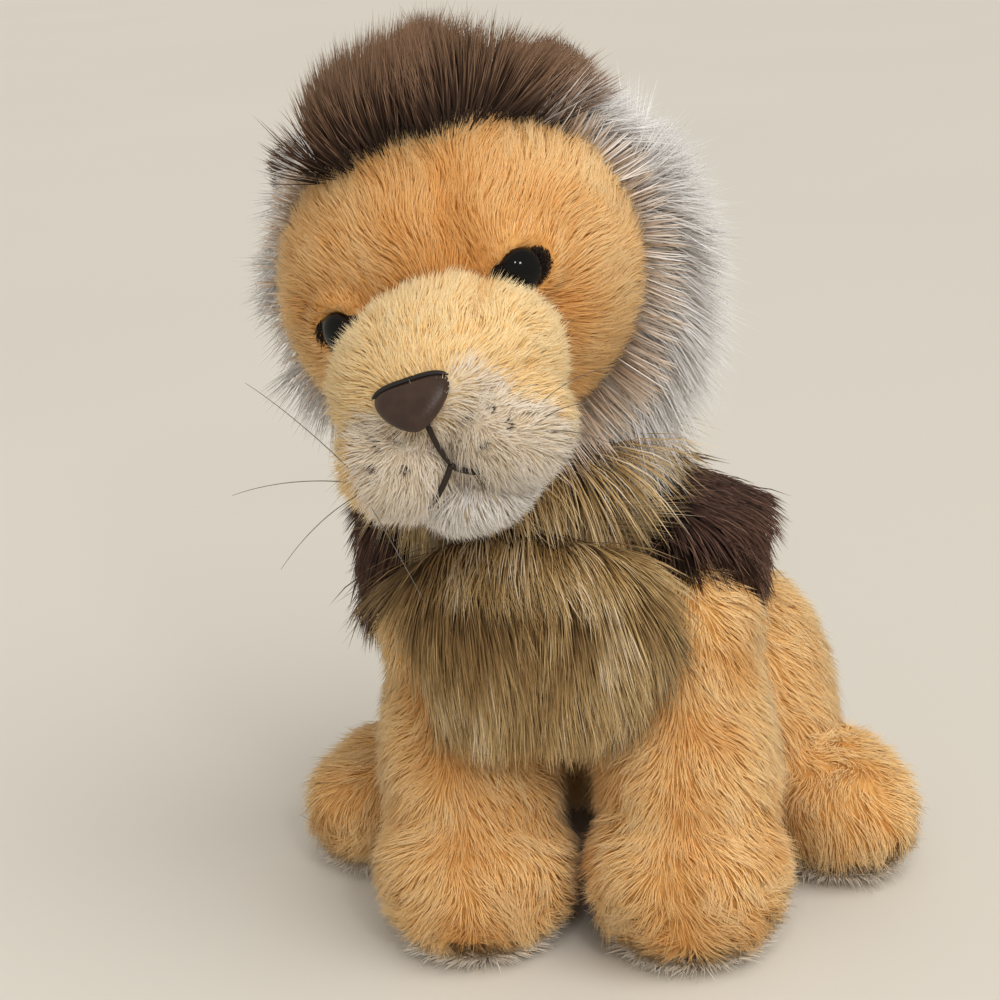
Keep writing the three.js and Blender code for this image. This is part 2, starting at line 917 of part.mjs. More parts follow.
/** The profile of the hole for an eye: its seat, the bore of its stem and the pocket of its washer. */
function socketProfile() {
  const bore = stemRadius + gap;
  const pocket = washerRadius + gap;
  const low = -washerDepth - washerThickness - gap;
  return [
    [0, -stemLength - gap],
    [bore, -stemLength - gap],
    [bore, low],
    [pocket, low],
    [pocket, -washerDepth + gap],
    [bore, -washerDepth + gap],
    [bore, -ridgeHeight * 2 - gap],
    [eyeRadius + gap, -ridgeHeight * 2 - gap],
    [eyeRadius + gap, stemLength],
    [0, stemLength],
  ];
}

/** The washer that locks an eye, a ring on the stem. */
function washerForm(side) {
  const outer = new THREE.Shape();
  outer.absarc(0, 0, washerRadius, 0, 2 * Math.PI);
  const hole = new THREE.Path();
  hole.absarc(0, 0, stemRadius + gap, 0, 2 * Math.PI, true);
  outer.holes.push(hole);
  const geometry = new THREE.ExtrudeGeometry(outer, {
    depth: washerThickness,
    bevelEnabled: false,
    curveSegments: 7,
  });
  geometry.translate(0, 0, -washerDepth - washerThickness);
  return solid(geometry.applyMatrix4(eyePlace(side)));
}

const earTiltDeg = 45;
const earHollowShare = 0.8;

/** An ear: a flat round cup that stands out from the head. */
function earForm(side, grow = 0) {
  const centre = headRound(earStand, side * earTiltDeg, earBehind);
  const turn = new THREE.Euler(0, side * radians(earTiltDeg), 0);
  const cup = ball({ centre, half: at(earHalfWidth, earThickness, earHalfHeight), turn, grow }, 8, 14);
  if (grow > 0) return cup;
  const front = centre.clone().setY(centre.y - earThickness);
  const inner = at(earHalfWidth, earThickness, earHalfHeight).multiplyScalar(earHollowShare);
  const hollow = ball({ centre: front, half: inner, turn }, 8, 12);
  return cut(cup, hollow);
}

const crestAnglesDeg = [-48, -32, -16, 0, 16, 33, 50];
const crestWideShares = [0.7, 0.95, 1, 1, 1, 0.95, 0.7];

/** The crest: upright pile in a band across the top of the head, in locks. */
function crestForm(grow, locks, rings, sides) {
  return bag(
    {
      spine: crestAnglesDeg.map((angle) => headRound(crestStand, angle, 0)),
      wide: crestWideShares.map((share) => share * crestHalfDepth),
      deep: crestWideShares.map((share) => share * crestPile),
      side: Y_AXIS,
      fullness: maneFullness,
      locks,
      lockShare,
      grow,
    },
    rings,
    sides,
  );
}

const ruffAnglesDeg = [52, 72, 94, 116, 138, 158];
const ruffBackShares = [0.55, 0.95, 1.1, 0.95, 0.55, 0.05];
const ruffReachShares = [1, 1.02, 1.02, 1.03, 1.08, 1.15];
const ruffWideShares = [0.75, 1, 1, 0.95, 0.85, 0.6];

/** A side ruff: pale pile from beside the crest down behind the cheek. */
function ruffForm(side, grow, locks, rings, sides) {
  return bag(
    {
      spine: ruffAnglesDeg.map((angle, i) =>
        headRound(ruffStand, side * angle, ruffBackShares[i] * ruffBehind, ruffReachShares[i]),
      ),
      wide: ruffWideShares.map((share) => share * ruffHalfDepth),
      deep: ruffWideShares.map((share) => share * ruffPile),
      side: Y_AXIS,
      fullness: maneFullness,
      locks,
      lockShare,
      grow,
    },
    rings,
    sides,
  );
}

const napeForm = () =>
  ball(
    {
      centre: at(0, napeBehind, 0),
      half: at(headHalfWidth + napeSpread, napeHalfDepth, headHalfHeight + napeRise),
    },
    12,
    18,
  );

// A whisker's root on its pad and its tip, as shares of the pad's half sizes and of the whisker's length.
const whiskerShares = {
  right: [
    { root: [0.72, 0.62, 0.3], tip: [0.4, -0.2, 0.87] },
    { root: [0.8, 0.58, 0.05], tip: [0.85, -0.1, 0.2] },
    { root: [0.76, 0.6, -0.2], tip: [0.72, -0.15, -0.32] },
    { root: [0.62, 0.72, -0.35], tip: [-0.2, -0.25, -0.8] },
  ],
  left: [
    { root: [0.78, 0.6, 0.3], tip: [0.62, -0.1, 0.12] },
    { root: [0.8, 0.6, 0.08], tip: [0.55, -0.12, -0.04] },
    { root: [0.76, 0.64, -0.15], tip: [0.5, -0.15, -0.25] },
  ],
};
const whiskerSagShare = 0.05;

/** One whisker: a fine tapering thread that starts just off its pad. */
function whiskerForm(side, { root, tip }) {
  const length = Math.hypot(...root);
  const onPad = root.map((share) => share / length);
  const pad = padMiddle(1);
  const start = at(
    side * (pad.x + onPad[0] * (padHalfWidth + gap)),
    pad.y - onPad[1] * (padHalfDepth + gap),
    pad.z + onPad[2] * (padHalfHeight + gap),
  );
  const end = start.clone().add(at(side * tip[0], tip[1], tip[2]).multiplyScalar(whiskerLength));
  const middle = start.clone().lerp(end, 0.5);
  middle.z += whiskerLength * whiskerSagShare;
  return bag(
    {
      spine: [start, middle, end],
      wide: [whiskerRadius, whiskerRadius, whiskerRadius / 2],
      deep: [whiskerRadius, whiskerRadius, whiskerRadius / 2],
      fullness: limbFullness,
      side: Z_AXIS,
    },
    7,
    3,
  );
}

/** Every piece of the head, in the head's own frame. */
function makeHead() {
  const group = new THREE.Group();
  const turn = new THREE.Euler(radians(headPitchDeg), radians(headRollDeg), 0, 'ZXY');
  group.position.copy(neckPivot).add(at(-headAside, -headAhead, headRise));
  group.setRotationFromEuler(turn);
  group.updateMatrix();
  const inverse = group.matrix.clone().invert();
  const local = (body) => solid(geometryOf(body).applyMatrix4(inverse));
  const neckCuts = [local(belowHead), local(neckSpace), local(collarNodSpace)];
  const both = Object.values(flanks);

  const sockets = both.map((side) => turned(socketProfile(), 11, eyePlace(side)));
  group.add(piece('head', cut(headForm(0, 18, 26), neckCuts, sockets), golden));
  const headSkin = headForm(coarseGap, 14, 20);
  const muzzleSkin = muzzleForm(gap);
  const padSkins = both.map((side) => padForm(side, gap));
  const nose = noseForm();
  const noseSkin = noseForm(gap);
  const mouthSkin = mouthForm(threadRadius + gap);

  const muzzle = cut(muzzleForm(), headSkin, padSkins, noseSkin, mouthSkin, sockets, neckCuts);
  group.add(piece('muzzle', largest(muzzle), goldenCap));
  for (const [name, side] of Object.entries(flanks)) {
    const inner = block(
      at(Math.min((side * gap) / 2, -side * overrun), -overrun, -overrun),
      at(Math.max((side * gap) / 2, -side * overrun), overrun, overrun),
    );
    const pad = cut(padForm(side), headSkin, noseSkin, mouthSkin, inner, neckCuts);
    group.add(piece(`muzzle_pad_${name}`, largest(pad), cream));
    group.add(piece(`eye_${name}`, turned(eyeProfile(), 12, eyePlace(side)), 0x15120f, 0.08));
    group.add(piece(`eye_washer_${name}`, washerForm(side), 0xe8e6e0, 0.5));
  }
  const chin = cut(chinForm(), headSkin, muzzleSkin, padSkins, mouthSkin, neckCuts);
  group.add(piece('chin', largest(chin), chinCream));
  group.add(piece('nose', nose, 0x4a352b, 0.4));
  group.add(piece('mouth_stitch', mouthForm(threadRadius), 0x3a2418));

  const earSkins = both.map((side) => earForm(side, gap));
  const ruffSkins = both.map((side) => ruffForm(side, coarseGap, 0, 12, 12));
  const crest = cut(crestForm(0, crestLocks, 24, 11), headSkin, earSkins);
  group.add(piece('crest', largest(crest), darkBrown));
  const crestSkin = crestForm(coarseGap, 0, 10, 10);
  for (const [name, side] of Object.entries(flanks)) {
    group.add(piece(`ear_${name}`, largest(cut(earForm(side), headSkin)), golden));
    const form = ruffForm(side, 0, ruffLocks, 16, 11);
    const ruff = cut(form, headSkin, muzzleSkin, crestSkin, earSkins, neckCuts);
    group.add(piece(`ruff_${name}`, largest(ruff), whiteTip));
    whiskerShares[name].forEach((shares, i) => {
      group.add(piece(`whisker_${name}_${i + 1}`, whiskerForm(side, shares), 0xd8d4cc, 0.3));
    });
  }
  const nape = cut(napeForm(), headSkin, crestSkin, earSkins, ruffSkins, neckCuts);
  group.add(piece('nape_mane', largest(nape), darkBrown));
  return group;
}

const group = new THREE.Group();
group.add(makeBody(), makeNeck(), makeHead());

export default group;
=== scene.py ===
"""A sitting plush lion: skins, fur, eyes, nose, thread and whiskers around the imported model.

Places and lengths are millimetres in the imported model's frame: +Z is up, the face looks
towards -Y and the toy's own left is +X. They become metres where a mesh is made.
"""

from __future__ import annotations

import logging
from collections.abc import Callable, Sequence
from dataclasses import dataclass, field
from enum import Enum

import bmesh
import bpy
import numpy as np
from mathutils import Matrix, Vector

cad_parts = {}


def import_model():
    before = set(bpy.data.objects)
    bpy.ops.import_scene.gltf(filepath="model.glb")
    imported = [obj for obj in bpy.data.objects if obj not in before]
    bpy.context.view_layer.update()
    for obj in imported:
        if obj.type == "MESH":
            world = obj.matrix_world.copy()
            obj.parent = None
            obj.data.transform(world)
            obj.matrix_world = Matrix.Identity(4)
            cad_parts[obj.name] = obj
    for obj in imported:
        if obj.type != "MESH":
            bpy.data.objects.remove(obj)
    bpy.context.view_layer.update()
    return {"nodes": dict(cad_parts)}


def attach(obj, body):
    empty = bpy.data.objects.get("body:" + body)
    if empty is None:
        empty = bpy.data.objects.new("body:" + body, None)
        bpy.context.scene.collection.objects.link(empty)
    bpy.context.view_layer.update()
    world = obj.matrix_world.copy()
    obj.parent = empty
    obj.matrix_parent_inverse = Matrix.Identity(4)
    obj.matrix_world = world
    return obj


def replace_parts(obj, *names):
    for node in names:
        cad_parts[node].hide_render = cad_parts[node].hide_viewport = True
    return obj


LOG = logging.getLogger("plush_lion")
MM = 0.001
BAKE_MAP = "OFBake"

Array = np.ndarray
Field = Callable[[Array], Array]


class Side(Enum):
    """The two sides of the toy, with the sign of their x."""

    LEFT = 1
    RIGHT = -1

    @property
    def word(self) -> str:
        """The side's name as the node names spell it."""
        return self.name.lower()


# ---- colours and materials


def linear(code: str) -> tuple[float, float, float, float]:
    """Turns an sRGB hex colour into linear values.

    Args:
        code: six hex digits after a hash.

    Returns:
        Red, green, blue and an alpha of one.
    """
    shares = np.array([int(code[i : i + 2], 16) for i in (1, 3, 5)]) / 255.0
    bright = ((shares + 0.055) / 1.055) ** 2.4
    red, green, blue = np.where(shares <= 0.04045, shares / 12.92, bright)
    return (float(red), float(green), float(blue), 1.0)


def add_node(
    tree: bpy.types.NodeTree,
    kind: str,
    inputs: dict | None = None,
    **settings: object,
) -> bpy.types.Node:
    """Adds a node with its settings, its values and its links.

    Args:
        tree: the material's or the world's node tree.
        kind: the node's type name.
        inputs: by socket name or number, a value or the socket that feeds it.
        settings: the node's own properties.

    Returns:
        The new node.
    """
    made = tree.nodes.new(kind)
    for key, value in settings.items():
        setattr(made, key, value)
    for key, value in (inputs or {}).items():
        if isinstance(value, bpy.types.NodeSocket):
            tree.links.new(value, made.inputs[key])
        else:
            made.inputs[key].default_value = value
    return made


def ramp_of(
    tree: bpy.types.NodeTree, factor: bpy.types.NodeSocket, stops: Sequence[tuple[float, str]]
) -> bpy.types.NodeSocket:
    """Adds a colour ramp.

    Args:
        tree: the material's node tree.
        factor: the socket that picks the colour.
        stops: places from 0 to 1, each with its sRGB hex colour.

    Returns:
        The ramp's colour socket.
    """
    made = add_node(tree, "ShaderNodeValToRGB", {"Fac": factor})
    elements = made.color_ramp.elements
    while len(elements) < len(stops):
        elements.new(0.5)
    for element, (place, code) in zip(elements, sorted(stops)):
        element.position = place
        element.color = linear(code)
    return made.outputs["Color"]


def fresh_material(name: str) -> tuple[bpy.types.Material, bpy.types.NodeTree]:
    """Makes a material with an empty node tree."""
    made = bpy.data.materials.new(name)
    made.use_nodes = True
    made.node_tree.nodes.clear()
    return made, made.node_tree


def close_material(tree: bpy.types.NodeTree, inputs: dict) -> None:
    """Adds the shader and the output to a material's tree."""
    shader = add_node(tree, "ShaderNodeBsdfPrincipled", inputs)
    add_node(tree, "ShaderNodeOutputMaterial", {"Surface": shader.outputs["BSDF"]})


def texture(tree: bpy.types.NodeTree, kind: str, scale: float, **inputs: float) -> bpy.types.Node:
    """Adds a texture that is laid out in the toy's own metres."""
    place = add_node(tree, "ShaderNodeTexCoord").outputs["Object"]
    return add_node(tree, kind, {"Vector": place, "Scale": scale, **inputs})


def bump_of(
    tree: bpy.types.NodeTree, height: bpy.types.NodeSocket, strength: float, depth: float
) -> bpy.types.NodeSocket:
    """Turns a height into a shading normal; the depth is in millimetres."""
    values = {"Height": height, "Strength": strength, "Distance": depth * MM}
    return add_node(tree, "ShaderNodeBump", values).outputs["Normal"]


def map_split(tree: bpy.types.NodeTree) -> bpy.types.NodeOutputs:
    """The bake map's two coordinates as sockets X and Y."""
    uv = add_node(tree, "ShaderNodeUVMap", uv_map=BAKE_MAP)
    return add_node(tree, "ShaderNodeSeparateXYZ", {"Vector": uv.outputs["UV"]}).outputs


class Finish:
    """A material that is made once and then found by its name."""

    name: str

    def material(self) -> bpy.types.Material:
        """Makes the material, or returns the one that is there."""
        if self.name in bpy.data.materials:
            return bpy.data.materials[self.name]
        made, tree = fresh_material(self.name)
        close_material(tree, self.inputs(tree))
        return made

    def inputs(self, tree: bpy.types.NodeTree) -> dict:
        """The shader's values and the sockets that feed it."""
        raise NotImplementedError


@dataclass(frozen=True)
class PileFinish(Finish):
    """Polyester pile of fur cloth: dull, soft at the edges, darker down between the strands: each
    row darkens towards the root, partly the pile's own colour and partly painted shade.

    Each tone is a row of colours from root to tip, and the tones are spread evenly across the
    bake map. A strand's place across picks a blend, and its height runs from root to tip.
    """

    name: str
    tones: tuple[tuple[str, str, str], ...]
    middle: float = 0.5
    roughness: float = 0.7
    sheen: float = 0.2
    sheen_tint: str = "#FFE2B8"

    def inputs(self, tree: bpy.types.NodeTree) -> dict:
        """A colour that is blended across the tones and up the strand, and a soft sheen."""
        split = map_split(tree)
        across, along = split["X"], split["Y"]
        places = (0.05, self.middle, 0.95)
        # each row runs from a darker root, partly painted shade between the strands, to a paler tip
        rows = [ramp_of(tree, along, list(zip(places, tone))) for tone in self.tones]
        colour, step = rows[0], 1.0 / (len(rows) - 1)
        for number, row in enumerate(rows[1:]):
            limits = {"Value": across, "From Min": number * step, "From Max": (number + 1) * step}
            share = add_node(tree, "ShaderNodeMapRange", limits, clamp=True).outputs["Result"]
            blend = {"Fac": share, "Color1": colour, "Color2": row}
            colour = add_node(tree, "ShaderNodeMixRGB", blend).outputs["Color"]
        return {
            "Base Color": colour,
            "Roughness": self.roughness,
            "Specular IOR Level": 0.25,
            "Sheen Weight": self.sheen,
            "Sheen Roughness": 0.5,
            "Sheen Tint": linear(self.sheen_tint),
        }


@dataclass(frozen=True)
class ClothFinish(Finish):
    """Knitted polyester backing: matt, mottled, with a fine knit of about a millimetre."""

    name: str
    colour: str
    shade: str
    knit: float = 1.0

    def inputs(self, tree: bpy.types.NodeTree) -> dict:
        """A mottled colour and the knit's bumps."""
        mottle = texture(tree, "ShaderNodeTexNoise", 120.0, Detail=3.0).outputs["Fac"]
        loops = texture(tree, "ShaderNodeTexVoronoi", 1.0 / (self.knit * MM)).outputs["Distance"]
        return {
            "Base Color": ramp_of(tree, mottle, [(0.35, self.shade), (0.65, self.colour)]),
            "Roughness": 0.9,
            "Specular IOR Level": 0.2,
            "Normal": bump_of(tree, loops, 0.6, 0.4),
        }


@dataclass(frozen=True)
class LeatheretteFinish(Finish):
    """Brown leatherette of the nose: satin, with a fine embossed grain."""

    name: str = "nose_leatherette"
    colour: str = "#33231B"
    worn: str = "#412E24"
    grain: float = 0.7

    def inputs(self, tree: bpy.types.NodeTree) -> dict:
        """A colour that is worn in places and the grain's bumps."""
        tint = texture(tree, "ShaderNodeTexNoise", 160.0, Detail=4.0).outputs["Fac"]
        cells = texture(tree, "ShaderNodeTexVoronoi", 1.0 / (self.grain * MM)).outputs["Distance"]
        return {
            "Base Color": ramp_of(tree, tint, [(0.4, self.colour), (0.7, self.worn)]),
            "Roughness": 0.36,
            "Specular IOR Level": 0.35,
            "Normal": bump_of(tree, cells, 0.35, 0.12),
        }


@dataclass(frozen=True)
class EyeFinish(Finish):
    """Moulded acrylic safety eye: black pupil, dark brown iris, a hard clear gloss."""

    name: str = "eye_acrylic"
    pupil: str = "#040404"
    iris: str = "#120906"
    rim: str = "#070504"

    def inputs(self, tree: bpy.types.NodeTree) -> dict:
        """Rings of colour from the dome's top to its rim."""
        rings = [(0.0, self.pupil), (0.42, self.pupil), (0.52, self.iris), (0.8, self.iris)]
        rings.append((0.92, self.rim))
        return {
            "Base Color": ramp_of(tree, map_split(tree)["Y"], rings),
            "Roughness": 0.04,
            "Specular IOR Level": 0.2,
        }


@dataclass(frozen=True)
class PlainFinish(Finish):
    """A moulded or drawn plastic, or a thread: one colour with faint streaks and a fine bump."""

    name: str
    colour: str
    shade: str
    roughness: float
    streak: float = 1.5
    gloss: float = 0.5

    def inputs(self, tree: bpy.types.NodeTree) -> dict:
        """Faint streaks, as a tint and as bumps."""
        noise = texture(tree, "ShaderNodeTexNoise", 1.0 / (self.streak * MM), Detail=2.0)
        streaks = noise.outputs["Fac"]
        return {
            "Base Color": ramp_of(tree, streaks, [(0.35, self.shade), (0.65, self.colour)]),
            "Roughness": self.roughness,
            "Specular IOR Level": self.gloss,
            "Normal": bump_of(tree, streaks, 0.3, 0.1),
        }


DARKEST = 0.99  # the tone of the muzzle pile's black end

GOLDEN_PILE = PileFinish(
    "golden_pile",
    (
        ("#D08540", "#DF9A4E", "#ECB26C"),
        ("#EDAF69", "#F8C680", "#FFE1B0"),
        # the third row's brown serves mostly the painted shade under the crest
        ("#7A5C3C", "#AD8A60", "#D6B98E"),
    ),
)
MUZZLE_PILE = PileFinish(
    "muzzle_pile",
    (
        ("#DE9A50", "#F0B66C", "#FAD294"),
        ("#EFC07C", "#FDDA9A", "#FFEEC4"),
        ("#DCC5A6", "#EDD9BD", "#F8EEDF"),
        ("#D0C7BC", "#EAE3DB", "#FBF8F4"),
        ("#1E130D", "#2E1F16", "#4A382A"),
    ),
)
CREAM_PILE = PileFinish(
    "cream_pile",
    (
        ("#BFA585", "#E6D2B6", "#F8EDDD"),
        ("#C6B9A8", "#F0E7DB", "#FFFBF5"),
    ),
)
LID_PILE = PileFinish(
    "lid_pile",
    (
        ("#0B0706", "#130D0A", "#1E1510"),
        ("#120C09", "#1E1510", "#3A2A1F"),
    ),
    sheen=0.05,
)
CREST_PILE = PileFinish(
    "crest_pile",
    (
        ("#130B08", "#2F1E15", "#6E5038"),
        ("#1F140E", "#513A2A", "#A88468"),
        ("#8E827A", "#C2B8B0", "#EFE8E2"),
    ),
    middle=0.62,
    sheen=0.05,
)
RUFF_PILE = PileFinish(
    "ruff_pile",
    (
        # the first row's brown, at the face's edge, is partly the ruff's own colour and partly
        # painted shade
        ("#4E3828", "#8E7056", "#CDB399"),
        ("#B49C84", "#E6D4C2", "#FBF3E9"),
        ("#D8CBC0", "#F6ECE4", "#FFFBF6"),
        ("#E2DAD6", "#FAF4F0", "#FFFDFB"),
    ),
    middle=0.38,
    sheen=0.6,
    sheen_tint="#FFF1DF",
)
TAN_PILE = PileFinish(
    "tan_mane_pile",
    (
        ("#2C1D14", "#644A2E", "#A68250"),
        ("#4E3822", "#A6834C", "#E4C48C"),
        ("#86704F", "#D6BD94", "#FBEFDA"),
    ),
    sheen=0.1,
)
DARK_PILE = PileFinish(
    "dark_mane_pile",
    (
        ("#120A08", "#2A1A15", "#463028"),
        ("#1C110D", "#422D26", "#785646"),
        ("#2A1B16", "#5E4438", "#A88670"),
    ),
    sheen=0.05,
)
GOLDEN_CLOTH = ClothFinish("golden_backing", "#E0A862", "#CC8E4A")
CAP_CLOTH = ClothFinish("muzzle_cap_backing", "#EAD0A2", "#DDBC88")
CREAM_CLOTH = ClothFinish("cream_backing", "#D8C8B0", "#C8B59A")
DARK_CLOTH = ClothFinish("dark_backing", "#2E1F1A", "#1C1210")
TAN_CLOTH = ClothFinish("tan_backing", "#5E4930", "#3E2B1A")
RUFF_CLOTH = ClothFinish("ruff_backing", "#B8A898", "#94806C")
THREAD = PlainFinish("mouth_thread", "#2C1B12", "#1A0F0A", 0.75, 0.6)
PIPING = PlainFinish("nose_piping", "#15100E", "#0B0807", 0.5, 0.6)
FILAMENT = PlainFinish("whisker_nylon", "#6E675F", "#5A544D", 0.5, 2.0, 0.3)
WASHER = PlainFinish("washer_white", "#E8E6E0", "#D8D5CD", 0.5, 4.0)


# ---- shapes as arrays


def unit(vectors: Array) -> Array:
    """Scales each vector to a length of one."""
    return vectors / np.maximum(np.linalg.norm(vectors, axis=-1, keepdims=True), 1e-9)


def about_x(angle: float) -> Array:
    """The rotation about X by an angle."""
    cos, sin = np.cos(angle), np.sin(angle)
    return np.array([[1, 0, 0], [0, cos, -sin], [0, sin, cos]])


def about_y(angle: float) -> Array:
    """The rotation about Y by an angle."""
    cos, sin = np.cos(angle), np.sin(angle)
    return np.array([[cos, 0, sin], [0, 1, 0], [-sin, 0, cos]])


def linked(name: str, data: bpy.types.ID) -> bpy.types.Object:
    """Makes an object of its data and links it to the scene."""
    made = bpy.data.objects.new(name, data)
    bpy.context.scene.collection.objects.link(made)
    return made


def new_piece(
    name: str, points: Array, faces: Array, uv: Array | None = None, normals: Array | None = None
) -> bpy.types.Object:
    """Makes an object at the origin from arrays.

    Args:
        name: the piece's name.
        points: its vertices, in millimetres.
        faces: rows of vertex numbers, all of one length.
        uv: a place in the bake map for each vertex, or none.
        normals: a normal for each vertex, or none for the surface's own.

    Returns:
        The object, linked to the scene.
    """
    mesh = bpy.data.meshes.new(name)
    corners = faces.shape[1]
    mesh.vertices.add(len(points))
    mesh.vertices.foreach_set("co", (points * MM).astype(np.float32).ravel())
    mesh.loops.add(faces.size)
    mesh.loops.foreach_set("vertex_index", faces.astype(np.int32).ravel())
    mesh.polygons.add(len(faces))
    mesh.polygons.foreach_set("loop_start", np.arange(0, faces.size, corners, dtype=np.int32))
    mesh.polygons.foreach_set("use_smooth", np.ones(len(faces), bool))
    if uv is not None:
        layer = mesh.uv_layers.new(name=BAKE_MAP)
        layer.uv.foreach_set("vector", uv[faces.ravel()].astype(np.float32).ravel())
    mesh.update(calc_edges=True)
    if normals is not None:
        mesh.normals_split_custom_set_from_vertices(normals.astype(np.float32))
    return linked(name, mesh)


def closed_grid(rows: Array) -> tuple[Array, Array]:
    """Joins rows of points into a closed skin of triangles.

    Each row is a closed ring. Quads between neighbouring rows are split in two, and the
    first and last rows close on their own middle points.

    Args:
        rows: points, by row and by place round the ring.

    Returns:
        The vertices and the triangles.
    """
    count, around = rows.shape[:2]
    ends = np.stack([rows[0].mean(0), rows[-1].mean(0)])
    points = np.concatenate([rows.reshape(-1, 3), ends])
    place = np.arange(count * around).reshape(count, around)
    after = np.roll(place, -1, axis=1)
    low, high = place[:-1].ravel(), place[1:].ravel()
    low_next, high_next = after[:-1].ravel(), after[1:].ravel()
    first, last = count * around, count * around + 1
    faces = np.concatenate(
        [
            np.stack([low, low_next, high_next], 1),
            np.stack([low, high_next, high], 1),
            np.stack([after[0], place[0], np.full(around, first)], 1),
            np.stack([place[-1], after[-1], np.full(around, last)], 1),
        ]
    )
    a, b, c = (points[faces[:, corner]] for corner in range(3))
    volume = (a * np.cross(b, c)).sum()
    return points, faces if volume > 0 else faces[:, ::-1]


def ball_rows(centre: Sequence[float], half: Sequence[float], rows: int, around: int) -> Array:
    """Rows of an ellipsoid: half sizes times cosines and sines of latitude and longitude."""
    latitude = np.linspace(-np.pi / 2, np.pi / 2, rows + 2)[1:-1, None]
    longitude = np.linspace(0, 2 * np.pi, around, endpoint=False)[None, :]
    x = np.cos(latitude) * np.cos(longitude)
    y = np.cos(latitude) * np.sin(longitude)
    z = np.broadcast_to(np.sin(latitude), x.shape)
    return np.array(centre) + np.stack([x, y, z], -1) * np.array(half)


def quadratic(points: Sequence[Array], share: Array) -> Array:
    """A quadratic curve: weights (1-t)^2, 2t(1-t) and t^2 on its three points."""
    t = share[:, None]
    return (1 - t) ** 2 * points[0] + 2 * t * (1 - t) * points[1] + t**2 * points[2]


def circle(across: Array, over: Array, around: int) -> Array:
    """Unit circles: the cosine along the first direction plus the sine along the second."""
    angle = np.linspace(0, 2 * np.pi, around, endpoint=False)[:, None]
    return across[..., None, :] * np.cos(angle) + over[..., None, :] * np.sin(angle)


def tube_rows(path: Array, radii: Array, around: int = 8) -> Array:
    """Rings of a tube: path point plus radius times a circle in the plane square to the path."""
    tangent = unit(np.gradient(path, axis=0))
    reference = np.array([0.0, 0.0, 1.0])
    if np.abs(tangent @ reference).max() > 0.9:
        reference = np.array([0.0, 1.0, 0.0])
    across = unit(np.cross(tangent, reference))
    over = np.cross(tangent, across)
    return path[:, None] + radii[:, None, None] * circle(across, over, around)


def tube(name: str, path: Array, radii: Array, around: int = 8) -> bpy.types.Object:
    """Makes a closed tube along a path."""
    points, faces = closed_grid(tube_rows(path, radii, around))
    return new_piece(name, points, faces)


def inside_ball(
    points: Array, centre: Sequence[float], half: Sequence[float], margin: float | Array
) -> Array:
    """True for points in an ellipsoid that is grown by a margin."""
    share = (points - np.array(centre)) / (np.array(half) + margin)
    return (share**2).sum(-1) < 1.0


def smooth_step(value: Array, low: float, high: float) -> Array:
    """Goes from 0 at low to 1 at high with level ends: 3t^2 - 2t^3."""
    t = np.clip((value - low) / (high - low), 0.0, 1.0)
    return t * t * (3 - 2 * t)


# ---- fur

# A strand's rings: how far up its line each one is, and its swelling.
SHORT_RINGS = ((0.36, 1.0),)
LONG_RINGS = ((0.3, 1.0), (0.68, 0.8))
RING_LEAN = 0.45  # how far a ring's normals turn outwards
RING_TONE = 0.004  # the difference of tone between a ring's corners
ROOT_SHARE, TIP_SHARE = 0.45, 0.55  # of the strand's length, before and after its bend
ROOT_DEPTH = 0.6  # how far a root is sunk into its skin
BEND_PULL = 0.35  # the bend's share of the tip's pull towards its lock


@dataclass(frozen=True)
class Skin:
    """The triangles of a closed skin as arrays, in millimetres."""

    corners: Array
    normals: Array

    @classmethod
    def of(cls, piece: bpy.types.Object) -> Skin:
        """Reads the triangles and smooth normals of a finished piece."""
        mesh = piece.data
        mesh.calc_loop_triangles()
        place, normal = np.empty((2, len(mesh.vertices) * 3), np.float32)
        mesh.vertices.foreach_get("co", place)
        mesh.vertices.foreach_get("normal", normal)
        number = np.empty(len(mesh.loop_triangles) * 3, np.int32)
        mesh.loop_triangles.foreach_get("vertices", number)
        number = number.reshape(-1, 3)
        return cls(place.reshape(-1, 3)[number] / MM, normal.reshape(-1, 3)[number])

    def scatter(self, density: float, keep: Field, rng: np.random.Generator) -> tuple[Array, Array]:
        """Draws root points evenly over the area.

        Args:
            density: points to the square millimetre.
            keep: which points may stay.
            rng: the source of chance.

        Returns:
            The kept points and the skin's normals there.
        """
        edge_a = self.corners[:, 1] - self.corners[:, 0]
        edge_b = self.corners[:, 2] - self.corners[:, 0]
        area = np.linalg.norm(np.cross(edge_a, edge_b), axis=1) / 2
        count = int(area.sum() * density)
        face = rng.choice(len(area), count, p=area / area.sum())
        first, second = np.sqrt(rng.uniform(size=count)), rng.uniform(size=count)
        weight = np.stack([1 - first, first * (1 - second), first * second], 1)[:, :, None]
        point = (self.corners[face] * weight).sum(1)
        normal = unit((self.normals[face] * weight).sum(1))
        kept = keep(point)
        return point[kept], normal[kept]


@dataclass(frozen=True)
class Pile:
    """How the pile of a fur cloth grows. Angles are between the strand and the skin."""

    density: float
    length: float
    width: float = 0.5
    rise_deg: float = 45.0
    fall_deg: float = 20.0
    lock: float = 4.0
    pull: float = 0.5
    wander: float = 0.18
    uneven: float = 0.16
    sway: float = 0.25
    sway_length: float = 22.0
    droop: float = 0.0
    long: bool = False


def ripple(points: Array, wavelength: float, rng: np.random.Generator, waves: int = 5) -> Array:
    """Smooth random vectors: in each coordinate, a sum of sine waves in random directions."""
    heading = unit(rng.normal(size=(3, waves, 3))) * (2 * np.pi / wavelength)
    heading = heading * rng.uniform(0.6, 1.4, size=(3, waves, 1))
    phase = rng.uniform(0, 2 * np.pi, size=(3, waves))
    return np.sin(np.einsum("nk,cwk->ncw", points, heading) + phase).sum(-1) / np.sqrt(waves / 2)


